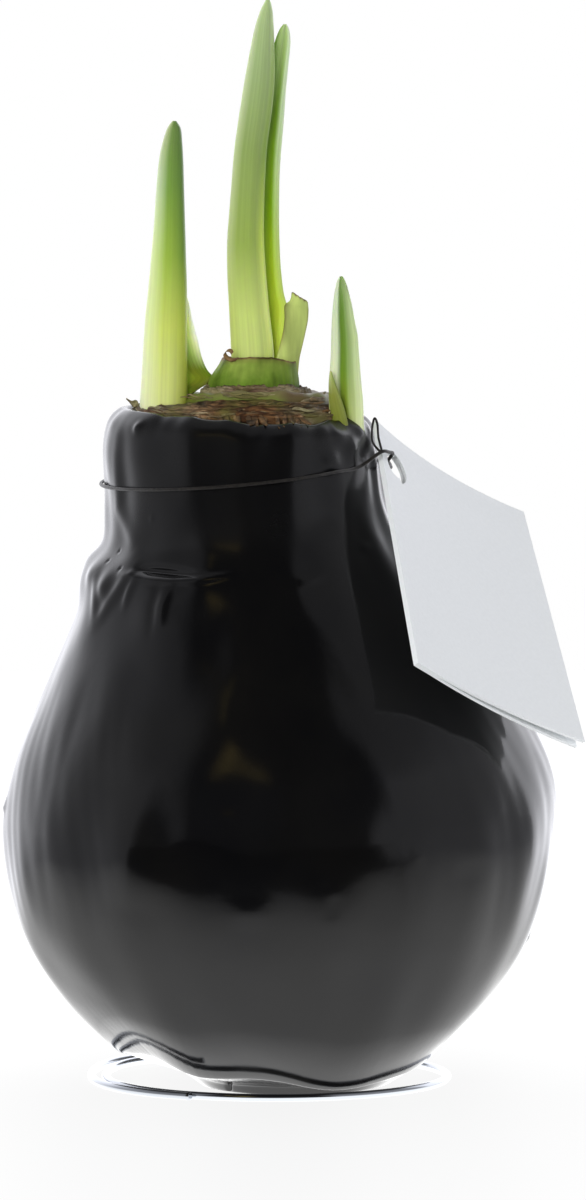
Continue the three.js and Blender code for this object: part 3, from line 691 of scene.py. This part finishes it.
def ovals(middle, one_way, other_way, sides):
    """Oval rings round the points of a line, from half their width each way."""
    at = 2 * math.pi * np.arange(sides)[:, None] / sides
    return middle[:, None] + np.cos(at) * one_way[:, None] + np.sin(at) * other_way[:, None]


share = np.linspace(0, 1, shred_steps)
taper = np.sin(math.pi * (0.12 + 0.8 * share))[:, None] ** 0.6
bow = 0.12 * np.sin(math.pi * 2.2 * share)
shred_stacks, pale_marks = [], []
for start, distance, height, turn, out, rise, wide, pale in shreds:
    a = np.radians(start + turn * share)
    r = distance + out * share ** 1.6
    middle = circle(neck_x, r, a, height + rise * share ** 1.4 + bow)
    ahead = np.gradient(middle, axis=0)
    side = unit(np.cross(ahead, circle(0, 1, a, 0.25)))
    outward = unit(np.cross(side, ahead))
    shred_stacks.append(ovals(middle, side * wide / 2 * taper, outward * shred_thick / 2, shred_sides))
    pale_marks.append(np.full((shred_steps, shred_sides), pale))
skin_shreds = skin("skin_shreds", shred_stacks, {"pale": pale_marks})


def papery_finish(name, dark, middle, light, straw, olive_share):
    """Dry brown skin, with fibres lying round the neck, paler in places and olive in others."""
    finish, shader, spot = new_finish(name, Roughness=0.65, Specular_IOR_Level=0.3)
    fibre = noise(stretched(spot, (1, 1, 4)), 260, 7, Roughness=0.68, Distortion=0.6)
    shade = add_ramp(fibre, [(0.36, dark), (0.5, middle), (0.6, light), (0.72, straw)])
    tan = [(0.36, (0.1, 0.075, 0.035)), (0.55, (0.36, 0.32, 0.18)), (0.7, (0.62, 0.56, 0.42))]
    shade = mix_colours(mark(shader, "pale"), shade, add_ramp(fibre, tan))
    olive = add_ramp(noise(spot, 150, 4), [(0.5, 0), (0.62, olive_share)])
    shade = mix_colours(olive, shade, (0.13, 0.12, 0.03))
    paint(shader, Base_Color=shade, Normal=bump(fibre, 0.8, 0.4))
    return finish


neck_paper = papery_finish("neck_paper", (0.012, 0.006, 0.003), (0.06, 0.024, 0.009), (0.17, 0.08, 0.028),
                           (0.36, 0.22, 0.11), 0.7)
core_paper = papery_finish("core_paper", (0.03, 0.014, 0.009), (0.1, 0.055, 0.035), (0.21, 0.14, 0.09),
                           (0.34, 0.27, 0.19), 0.4)
for piece, node, finish in (
    (neck_skin, "outer_dry_scale", neck_paper), (skin_shreds, "outer_dry_scale", neck_paper),
    (core_skin, "inner_dry_scale", core_paper),
):
    piece.data.materials.append(finish)
    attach(piece, "root")
    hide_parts(node)

# ---- Cut leaf ----
# The base of an old leaf, cut low all round with a knife. Its cut edge has dried brown, and one
# strip of it was left standing at the right, with a frayed scrap at the left.

cut_x, cut_foot, cut_top, cut_lean = -4.4, 115.1, 121, 0.5
cut_radius, cut_top_radius, cut_left_slope = 7.5, 6.9, 1.2
cut_shading = 6.4  # the height over which its green grows lighter
# The wall, up outside and down inside: share of the height, how far in, and how dried.
cut_wall = [(0, 0, 0), (0.1, -0.15, 0), (0.25, -0.22, 0), (0.45, -0.15, 0), (0.65, -0.05, 0), (0.82, 0, 0),
            (0.93, 0.04, 0.35), (0.985, 0.12, 1), (1, 0.4, 1), (0.99, 0.8, 0.9), (0.94, 1.1, 0.6),
            (0.7, 1.2, 0), (0.3, 1.2, 0), (0, 1.2, 0)]
a = np.linspace(-math.pi, math.pi, 240, endpoint=False)
front_share, right_share, left_share = (
    np.exp(-(turn_between(a, at) / spread) ** 2) for at, spread in ((-88, 0.8), (-20, 0.4), (-172, 0.75)))
edge = cut_top + 0.75 * front_share - 0.5 * right_share + torn_line(a, 0.05)
swell = torn_line(a, 0.12)
rings = []
for up, inset, _ in cut_wall:
    r = cut_radius + (cut_top_radius - cut_radius) * smoothstep(up, 0.1, 1.05) - inset + swell * (1 - up)
    r = r - cut_left_slope * left_share * smoothstep(up, 0.4, 1)
    rings.append(circle(cut_x + cut_lean * up, r, a, cut_foot + (edge - cut_foot) * up))
dried_marks = [np.full_like(a, dried) for _, _, dried in cut_wall]
cut_ring = skin("cut_leaf_ring", [rings], {"dried": [dried_marks]}, hoop=True)

# The strip: left and right edges seen from the front, how far back each stands, and the height.
strip_edges = [(-0.5, -4.4, 3, -0.6, 117), (-0.4, -4, 3.35, -0.8, 121), (0.1, -3.4, 3.8, -0.8, 123),
               (0.65, -2.9, 4.3, -0.7, 125.2), (1, -2.5, 4.75, -0.5, 127.6), (1.05, -2.3, 4.85, -0.4, 129.6),
               (1.9, -2.1, 4.85, -0.3, 130.1), (2.2, -1.9, 4.75, -0.2, 131.3)]
strip_slant, strip_thick = 1.7, 1
turns, strip_shares = np.linspace(0, 1, 17), np.linspace(0, 1, 44)
rings, dried_marks = [], []
for share, (left, left_back, right, right_back, z) in zip(strip_shares, through(strip_edges, strip_shares)):
    x = left + (right - left) * turns
    y = left_back + (right_back - left_back) * turns - 0.5 * np.sin(math.pi * turns)
    top = z + smoothstep(share, 0.4, 1) * (strip_slant * (0.5 - turns) + 0.12 * np.sin(23 * turns))
    body = strip_thick * np.sin(math.pi * (0.12 + 0.76 * turns)) ** 0.5
    front, back = np.stack([x, y, top], axis=-1), np.stack([x - 0.15, y + body, top], axis=-1)
    rings.append(np.concatenate([front, back[::-1]]))
    torn = np.exp(-turns / 0.12) * smoothstep(share, 0.15, 0.4) * (1 - smoothstep(share, 0.72, 0.8)) * 0.6
    torn = torn + 0.45 * np.exp(-(1 - turns) / 0.03)
    dried = np.maximum(torn, smoothstep(share, 0.965, 1))
    dried_marks.append(np.concatenate([dried, dried[::-1]]))
strip = skin("cut_strip", [rings], {"dried": [dried_marks]})


def along(points, shares, closed=False):
    """Points on a smooth curve through others, by share of its length."""
    route = through(points, np.linspace(0, 1, 60 * len(points) + 1), closed)
    length = np.concatenate([[0], np.cumsum(np.linalg.norm(np.diff(route, axis=0), axis=1))])
    at = np.asarray(shares) * length[-1]
    return np.stack([np.interp(at, length, route[:, k]) for k in range(3)], axis=1)


# The frayed scrap: a curled ribbon of skin at the left end of the cut.
fray_route = [(-7, -5.4, 121.3), (-7.9, -5.3, 121.2), (-8.8, -5.1, 121.6), (-9.1, -4.9, 122.2),
              (-8.7, -5.1, 122.7), (-8.1, -5.5, 122.7), (-7.8, -5.7, 122.3)]
fray_steps, fray_sides = 40, 8
share = np.linspace(0, 1, fray_steps)
one_way = np.tile((0.2, 0, 0.24), (fray_steps, 1))
other_way = np.outer(0.6 * (1 - 0.5 * share), (0.3, 1, 0.3))
rings = ovals(along(fray_route, share), one_way, other_way, fray_sides)
fray = skin("cut_fray", [rings], {"dried": [np.ones((fray_steps, fray_sides))]})


def cut_finish(name, low, middle, high):
    """Cut leaf: fleshy green with fine veins, darker low down with painted shade, brown where its edge has
    dried.
    """
    finish, shader, spot = new_finish(name, Roughness=0.6, Specular_IOR_Level=0.1)
    grain = noise(stretched(spot, (1, 1, 0.2)), 420, 4)
    # Darker towards the foot: painted shade where the leaf sits down among the scales.
    up = scaled(parts_of(spot)["Z"], 1 / (cut_shading * mm), -cut_foot / cut_shading)
    up = math_node("ADD", up, scaled(noise(spot, 240, 3), 1.6, -0.8))
    shade = add_ramp(up, [(0.05, low), (0.4, middle), (1, high)])
    shade = mix_colours(1, shade, add_ramp(grain, [(0.3, 0.75), (0.7, 1.25)]), "MULTIPLY")
    brown = add_ramp(grain, [(0.35, (0.05, 0.022, 0.01)), (0.7, (0.26, 0.16, 0.07))])
    shade = mix_colours(mark(shader, "dried"), shade, brown)
    paint(shader, Base_Color=shade, Normal=bump(grain, 0.35, 0.2))
    return finish


ring_green = cut_finish("cut_ring_green", (0.05, 0.08, 0.012), (0.12, 0.2, 0.022), (0.25, 0.34, 0.06))
strip_green = cut_finish("cut_strip_green", (0.34, 0.44, 0.1), (0.44, 0.54, 0.13), (0.52, 0.62, 0.18))
for piece, finish in ((cut_ring, ring_green), (strip, strip_green), (fray, strip_green)):
    piece.data.materials.append(finish)
    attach(piece, "root")
    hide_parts("cut_leaf")

# ---- Leaves ----
# Young strap leaves, still thick and folded: pale and yellow at the root, where they grew in
# the dark, and green towards the tip. Each stands in the bulb's neck.

# Each leaf, from root to tip: its left edge, its right edge and its height. Then how far back
# it stands at the root and at the tip, its thickness, how far its edges curl back, and hollows
# down its front: where across it, how deep and how wide.
leaf_shapes = {
    "left_leaf": dict(
        rows=[(-23.3, -15.2, 110), (-23.2, -15.3, 114.3), (-22.9, -15.3, 119), (-22.35, -15.35, 127.6),
              (-21.8, -15.35, 133), (-21.3, -15.5, 138.3), (-20.85, -15.65, 143.6), (-20.5, -15.8, 149),
              (-20, -15.95, 154.3), (-19.45, -16.1, 157), (-18.6, -16.4, 159.6), (-17.8, -17.1, 160.75)],
        back=(-3.4, -3), thick=4.4, curl=0.7, hollows=[(0.3, 0.12, 0.12), (-0.35, 0.08, 0.1)]),
    "center_leaf_front": dict(
        rows=[(-8, -1, 115.1), (-8.05, -0.9, 121.6), (-8.4, -1.7, 129.4), (-8.7, -2.25, 135.5),
              (-8.7, -2.55, 140.8), (-8.4, -2.55, 145), (-8, -2.4, 150), (-7.5, -2.05, 156),
              (-6.5, -1.15, 163), (-5.7, -0.75, 168), (-4.9, -0.8, 172.3), (-4.05, -0.95, 176.3),
              (-3.1, -1.15, 179.2), (-2.2, -1.6, 180.9)],
        back=(-1.9, -1.5), thick=2.6, curl=0.9, hollows=[(0.72, 0.25, 0.1), (-0.3, 0.1, 0.2)]),
    "center_leaf_back": dict(
        rows=[(-5.8, 0.3, 115.1), (-5, 0.45, 121.3), (-4.6, 1.35, 129), (-4.9, 0.7, 132), (-5, 0.1, 138.3),
              (-4.7, 0.05, 151.6), (-3.9, 0.75, 160.6), (-2.6, 1.1, 165.6), (-1.6, 1.55, 170.3),
              (-0.75, 1.85, 173.8), (0.05, 1.6, 175.8), (0.65, 1.2, 176.6)],
        back=(2.2, 1.4), thick=2.2, curl=-0.8, hollows=[(0.25, 0.5, 0.3)]),
    "right_leaf": dict(
        rows=[(8.3, 14.1, 109.2), (8.2, 13.87, 114.8), (8.3, 13.5, 118.8), (8.55, 13.2, 122.8),
              (8.6, 13, 125.5), (8.7, 12.5, 128.1), (8.9, 12, 130.8), (9.25, 11.35, 133.4),
              (9.55, 10.95, 134.6), (9.95, 10.5, 135.4)],
        back=(-9.5, -9.8), thick=2.8, curl=-0.7, hollows=[(-0.25, 0.75, 0.22)]),
    "right_leaf_sheath": dict(
        rows=[(9.3, 11.6, 109.8), (8.7, 11.2, 112), (8.3, 10.6, 114.2), (8.15, 9.7, 116.7), (8.2, 9, 118.6),
              (8.35, 8.6, 119.9)],
        back=(-12.6, -11.9), thick=0.9, curl=0.25, hollows=[]),
}
# Colours of each leaf down its middle, at its left margin and at its right margin, in percent: how
# far up from the root, red, green and blue. Margins say where across the leaf, from 0 to 1, the
# left one is whole and is gone, and where the right one begins and is whole.
# The margin colours are partly the leaves' own paler edges and partly painted light and shade: lit and
# glowing edges painted lighter, shaded sides darker.
leaf_colours = {
    "left_leaf": dict(
        middle=[(2, 70, 75, 30), (32, 60, 69, 15), (56, 31, 46, 6), (80, 18, 32, 5.5), (100, 15, 24, 6.5)],
        left=[(2, 86, 90, 58), (56, 74, 86, 40), (80, 64, 76, 48), (100, 48, 56, 26)],
        right=[(2, 42, 45, 7), (32, 50, 60, 6), (56, 15, 28, 3), (80, 10, 20, 3)],
        margins=((0, 0.42), (0.58, 1))),
    "center_leaf_front": dict(
        middle=[(3, 56, 64, 22), (20, 58, 69, 20), (38, 31, 42, 9), (62, 27, 37, 11), (84, 33, 44, 19),
                (100, 40, 52, 24)],
        left=[(20, 54, 62, 16), (38, 52, 60, 27), (84, 60, 70, 40)],
        right=[(20, 84, 94, 32), (38, 62, 78, 12), (60, 24, 38, 6), (84, 36, 50, 14), (100, 68, 76, 54)],
        margins=((0, 0.27), (0.76, 1))),
    "center_leaf_back": dict(
        middle=[(2, 40, 38, 7), (14, 60, 69, 8), (30, 45, 60, 3), (50, 26, 46, 1), (76, 20, 36, 3),
                (100, 40, 53, 22)],
        left=[(14, 66, 72, 8), (50, 30, 52, 2), (76, 18, 32, 2)],
        right=[(14, 54, 64, 12), (40, 48, 60, 20), (76, 66, 76, 55)],
        margins=((0, 0.2), (0.72, 0.98))),
    "right_leaf": dict(
        middle=[(10, 27, 34, 3.5), (40, 15, 27, 2), (80, 14, 26, 3.5), (100, 24, 36, 12)],
        left=[(10, 40, 44, 10), (40, 72, 78, 52), (80, 64, 74, 50)],
        right=[(10, 80, 90, 52), (80, 62, 74, 40), (100, 34, 46, 18)],
        margins=((0.24, 0.36), (0.5, 1))),
    "right_leaf_sheath": dict(
        middle=[(0, 17, 20, 2.5), (60, 22, 24, 4), (100, 40, 46, 16)],
        left=[(0, 14, 17, 2), (60, 24, 27, 5), (100, 60, 66, 36)],
        right=[(0, 19, 22, 3), (100, 34, 40, 10)],
        margins=((0, 0.5), (0.5, 1))),
}
leaf_steps, leaf_sides = 90, 56


def blade(name, rows, back, thick, curl, hollows):
    """A leaf: a thick strap between its two edges, curved across and closed at its tip."""
    line = through(rows, 1 - np.linspace(1, 0, leaf_steps + 1) ** 1.5)
    left, right, height = line[:, 0:1], line[:, 1:2], line[:, 2:3]
    half = (right - left) / 2
    size = np.sqrt(half / half.max())
    angle = 2 * math.pi * np.arange(leaf_sides) / leaf_sides
    across, deep = np.cos(angle)[None, :], np.sin(angle)[None, :]
    up = (height - height[0]) / (height[-1] - height[0])
    dent = sum(d * np.exp(-((across - at) / wide) ** 2) for at, d, wide in hollows)
    dent = (deep > 0) * dent * size * smoothstep(up, 0.02, 0.2)
    x = (left + right) / 2 + across * half
    y = back[0] + (back[1] - back[0]) * up - deep * thick / 2 * size + dent + curl * size ** 2 * across ** 2
    rings = np.stack([x, y, height + 0 * x], axis=-1)[:, ::-1]
    return skin(name, [rings], {"across": [((across + 1) / 2 + 0 * x)[:, ::-1]], "along": [up + 0 * x]})


def up_leaf(length, stops):
    """A leaf's colour by how far up it is, from stops in percent."""
    return add_ramp(length, [(at / 100, tuple(part / 100 for part in colour)) for at, *colour in stops])


def leaf_finish(name, middle, left, right, margins, depth=1.2, lets_in=0.3):
    """Satin leaf skin: colours up and across the leaf, with painted light and shade at its margins, fine
    veins, and light passing through.
    """
    finish, shader, _ = new_finish(
        name, Roughness=0.4, Specular_IOR_Level=0.35, Subsurface_Weight=lets_in,
        Subsurface_Radius=(0.7, 1, 0.3), Subsurface_Scale=depth * mm)
    length, wide = mark(shader, "along"), mark(shader, "across")
    place = add_node(shader.id_data, "CombineXYZ", {"X": wide, "Y": length}).outputs[0]
    vein = noise(stretched(place, (9, 0.5, 1)), 1.6, 4)
    wander = scaled(vein, 0.1, -0.05)
    wide = math_node("ADD", wide, wander)
    length = math_node("ADD", length, wander)
    shade = up_leaf(length, middle)
    # Each margin colour is partly the leaf's own and partly painted light and shade.
    for stops, span, ends in ((left, margins[0], (1, 0)), (right, margins[1], (0, 1))):
        share = add_ramp(wide, list(zip(span, ends)))
        shade = mix_colours(share, shade, up_leaf(length, stops))
    streak = add_ramp(vein, [(0.3, 0.9), (0.7, 1.1)])
    shade = mix_colours(1, shade, streak, "MULTIPLY")
    paint(shader, Base_Color=shade, Normal=bump(vein, 0.15, 0.2))
    return finish


for node, shape in leaf_shapes.items():
    piece = blade("growing_" + node, **shape)
    piece.data.materials.append(leaf_finish(node + "_skin", **leaf_colours[node]))
    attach(piece, "root")
    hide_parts(node)

# ---- Sheath behind the left leaf ----
# A flared olive sheath of the same shoot: a thin hollow blade that wraps the leaf's right side,
# with a pale see-through margin. It stands free of the cut scales at its lower corner.

# Its right edge: how far right and how high. Its left edge stays behind the leaf.
flare = [(-14.8, 110), (-14.7, 113.2), (-14.4, 115), (-13.2, 116), (-11.6, 116.9), (-11, 117.7),
         (-12, 119), (-12.9, 121.1), (-13.7, 124.5), (-14.4, 127), (-15.2, 130.8), (-16.4, 134)]
sheath_left, sheath_foot, sheath_tall, sheath_middle, sheath_curve = -20, 110, 24, -19, 0.035
sheath_front, sheath_thick, margin_thick, margin_curl = -0.6, 0.75, 0.25, 0.5
rings, across_marks, up_marks = [], [], []
for right, z in through(flare, np.linspace(0, 1, 60)):
    x = np.linspace(sheath_left + 2.4 * smoothstep(z, 128, 134), right, 16)
    front = sheath_front + sheath_curve * (x - sheath_middle) ** 2
    front = front - margin_curl * smoothstep(x, right - 1.5, right)
    wall = margin_thick + (sheath_thick - margin_thick) * (1 - smoothstep(x, right - 3, right))
    outer, inner = (np.stack([x, y, z + 0 * x], axis=-1) for y in (front, front + wall))
    rings.append(np.concatenate([outer, inner[::-1]]))
    from_edge = np.clip((right - x) / 4, 0, 1)
    across_marks.append(np.concatenate([from_edge, from_edge[::-1]]))
    up_marks.append(np.full(2 * len(x), (z - sheath_foot) / sheath_tall))
left_sheath = skin("growing_left_leaf_sheath", [rings], {"across": [across_marks], "along": [up_marks]})
# Its outer margin is partly its own pale edge and partly painted light: near white higher up, for light
# shining through it, and dark lower down.
left_sheath.data.materials.append(leaf_finish(
    "left_sheath_skin", depth=2, lets_in=0.6, margins=((0, 0.75), (0.7, 1)),
    middle=[(10, 32, 32, 4), (38, 34, 35, 3), (60, 50, 62, 7), (100, 45, 57, 12)],
    left=[(10, 10, 9, 2), (38, 7, 7, 2), (60, 95, 98, 84), (100, 90, 95, 80)],
    right=[(10, 44, 44, 7), (60, 50, 60, 6), (100, 40, 52, 8)]))
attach(left_sheath, "root")
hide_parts("left_leaf_sheath")

# ---- Wire stand ----
# One bright drawn wire, bent into a flat spiral that the bulb stands in. Its inner end turns up
# into the bulb's base, and its outer end is cut off plain.

wire_thick, wire_x, wire_radius, wire_inner = 1.3, -1.7, 29.75, 26.5
wire_low = 0.01 + wire_thick / 2
wire_starts, wire_ends = -116, -600  # directions in degrees: it winds inwards by one and a third turns
wire_rise = [(150, 0.7, 32)]  # where the wire bows up: direction, height and spread
wire_route = []
for degrees in np.linspace(wire_starts, wire_ends, 33):
    at = math.radians(degrees)
    r = wire_radius + (wire_inner - wire_radius) * max(0, (degrees + 360) / (wire_ends + 360))
    wire_route.append(circle(wire_x, r, at, wire_low + wave_height(wire_rise, at)))
wire_route += [(-12, 24.4, wire_low), (-9.2, 24.7, wire_low), (-7.4, 23, wire_low + 0.05),
               (-7, 21.2, wire_low + 1), (-7, 20.9, wire_low + 3), (-7, 20.9, 13)]


def tube(route, thickness, steps, sides, closed=False):
    """Rings of a round cord or wire along a smooth route. An open one is cut off plain."""
    shares = np.linspace(0, 1, steps, endpoint=not closed)
    centre = along(route, shares, closed)
    forward = np.roll(centre, -1, axis=0) - np.roll(centre, 1, axis=0)
    if not closed:
        forward[0], forward[-1] = centre[1] - centre[0], centre[-1] - centre[-2]
    forward = unit(forward)
    normal = np.cross(forward[0], (0.3, 0.2, 1))
    normals = []
    for ahead in forward:
        normal = unit(normal - ahead * np.dot(normal, ahead))
        normals.append(normal)
    normals = np.array(normals)
    binormals = np.cross(forward, normals)
    if closed:
        slip = math.atan2(np.dot(normals[-1], binormals[0]), np.dot(normals[-1], normals[0]))
        twist = -slip * shares[:, None]
        normals, binormals = (normals * np.cos(twist) + binormals * np.sin(twist),
                              binormals * np.cos(twist) - normals * np.sin(twist))
    rings = ovals(centre, normals * thickness / 2, binormals * thickness / 2, sides)
    if closed:
        return [rings]
    first, last = (centre[end] + 0.8 * (rings[end] - centre[end]) for end in (0, -1))
    return [np.concatenate([[first], rings, [last]])]


bent_wire = skin("bent_wire", tube(wire_route, wire_thick, 420, 16))
bright, shader, spot = new_finish("drawn_wire", Metallic=1, Base_Color=(0.4, 0.42, 0.45, 1))
scratches = add_ramp(noise(spot, 900, 3), [(0.3, 0.04), (0.75, 0.1)])
paint(shader, Roughness=scratches)
bent_wire.data.materials.append(bright)
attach(bent_wire, "root")
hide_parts("wire_stand")

# ---- Tag ----
# A card folded once along its left edge, with one punched hole and nothing printed on it. It
# hangs from the tie and leans on the shoulder; its lower right corner lifts off.

tag_width, tag_height, sheet, tag_opening, tag_lift, tag_bow = 38, 51.4, 0.5, 1.4, 3.9, 1.7
hole_radius, hole_across, hole_down = 2.2, 3.8, 7.6
fold_share, joined_share = 0.1, 0.15  # of its width, where its leaves are folded and where they touch
# The punch goes through the front leaf at the hole's size, and a little wider through the back one.
punch_steps, punch_sides = ((-8, 3.2), (-0.62, 3.2), (-0.58, hole_radius), (6, hole_radius)), 40
tag_corner = np.array([16.1, -6.6, 111.2])
tag_across = unit(np.array([25.1, 23.2, -17.4]))
tag_out = unit(np.cross([7.2, -34.7, -37.5], tag_across))
tag_up = np.cross(tag_out, tag_across)


def on_tag(points):
    """Turns places on the tag (across, up, out) into places in the room."""
    return tag_corner + np.asarray(points, float) @ np.array([tag_across, tag_up, tag_out])


shares = np.linspace(0, 1, 45)
gap = np.maximum(0, shares - fold_share) * tag_opening
parted = shares > joined_share
# Once round the folded card: its front, back along the inside, and its back leaf.
right = np.concatenate([shares, shares[parted][::-1], shares[parted], shares[::-1]])
layer = np.concatenate([0 * shares, 0 * shares[parted] - sheet, -sheet - gap[parted], -2 * sheet - gap[::-1]])
rings = []
for low in np.linspace(0, 1, 40):
    out = layer + tag_lift * right * low - tag_bow * 4 * right * (1 - right) * (1 - 0.4 * low)
    rings.append(np.stack([right * tag_width, -low * tag_height + 0 * out, out], axis=-1))
folded_tag = skin("folded_tag", [on_tag(rings)], plain=True)
outs, bores = (np.array(step)[:, None] for step in zip(*punch_steps))
middle = np.array([(hole_across, -hole_down, 0)]) + outs * (0, 0, 1)
punch = skin("punch", [on_tag(ovals(middle, bores * (1, 0, 0), bores * (0, 1, 0), punch_sides))])
# The punch also turns the card's faces outwards.
cut = folded_tag.modifiers.new("hole", "BOOLEAN")
cut.operation = "DIFFERENCE"
cut.solver = "EXACT"
cut.object = punch
bpy.context.view_layer.update()
holed = bpy.data.meshes.new_from_object(folded_tag.evaluated_get(bpy.context.evaluated_depsgraph_get()))
folded_tag.modifiers.clear()
folded_tag.data = holed
bpy.data.objects.remove(punch)
holed.name = "folded_tag"
holed.shade_smooth()
holed.set_sharp_from_angle(angle=math.radians(35))

card, shader, spot = new_finish("grey_card", Roughness=0.5)
grain = noise(spot, 1500, 4)
grey = add_ramp(grain, [(0.3, (0.82, 0.845, 0.855)), (0.7, (0.85, 0.875, 0.885))])
paint(shader, Base_Color=grey, Normal=bump(grain, 0.1, 0.1))
holed.materials.clear()
holed.materials.append(card)
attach(folded_tag, "root")
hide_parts("tag")

# ---- Neck tie ----
# A thin black elastic cord, held tight round the neck by its own stretch. It runs over the tag's
# fold and through its hole, and its knot leaves a small loop standing up.

tie_thick, loop_thick, tie_left, tie_right, tie_stand = 0.6, 0.38, 100, 104.9, 0.62


def tie_on_neck(degrees):
    """The cord's middle in one direction: on the neck's wall, standing off it."""
    at = np.array([math.radians(degrees)])
    height = tie_left + (tie_right - tie_left) * (1 + math.cos(at[0])) / 2
    low, high = wax_outline[neck_row - 1:neck_row + 1, 0, 1]
    wall = wax_surface(at, [(neck_row - 1 + (height - low) / (high - low)) / spans])[0, 0]
    return wall + unit(np.array([wall[0] - neck_x, wall[1], 0])) * tie_stand


through_tag = [(-1.1, -7.8, 0.8), (0.9, -6.9, 0.85), (2.3, -6.2, 0.5), (2.9, -6.2, -0.7), (3.3, -6.6, -2.5)]
tie_route = [*on_tag(through_tag), (18.5, -4.9, 103.2)]
tie_route += [tie_on_neck(degrees) for degrees in range(8, 315, 18)]
tie_loop = [(16.9, -12.9, 106.5), (15.5, -12.9, 108), (15.4, -12.4, 110.6), (15.8, -12, 112),
            (16.2, -12.1, 111.2), (16.4, -12.5, 108.9)]
cord_round_neck = skin("cord_round_neck", tube(tie_route, tie_thick, 700, 10, closed=True), hoop=True)
cord_loop = skin("cord_loop", tube(tie_loop, loop_thick, 90, 10, closed=True), hoop=True)
elastic, shader, spot = new_finish("black_elastic", Roughness=0.45)
weave = noise(spot, 2500, 3)
black = add_ramp(weave, [(0.3, (0.004, 0.004, 0.004)), (0.7, (0.022, 0.019, 0.016))])
paint(shader, Base_Color=black, Normal=bump(weave, 0.5, 0.2))
for piece in (cord_round_neck, cord_loop):
    piece.data.materials.append(elastic)
    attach(piece, "root")
    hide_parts("neck_tie")
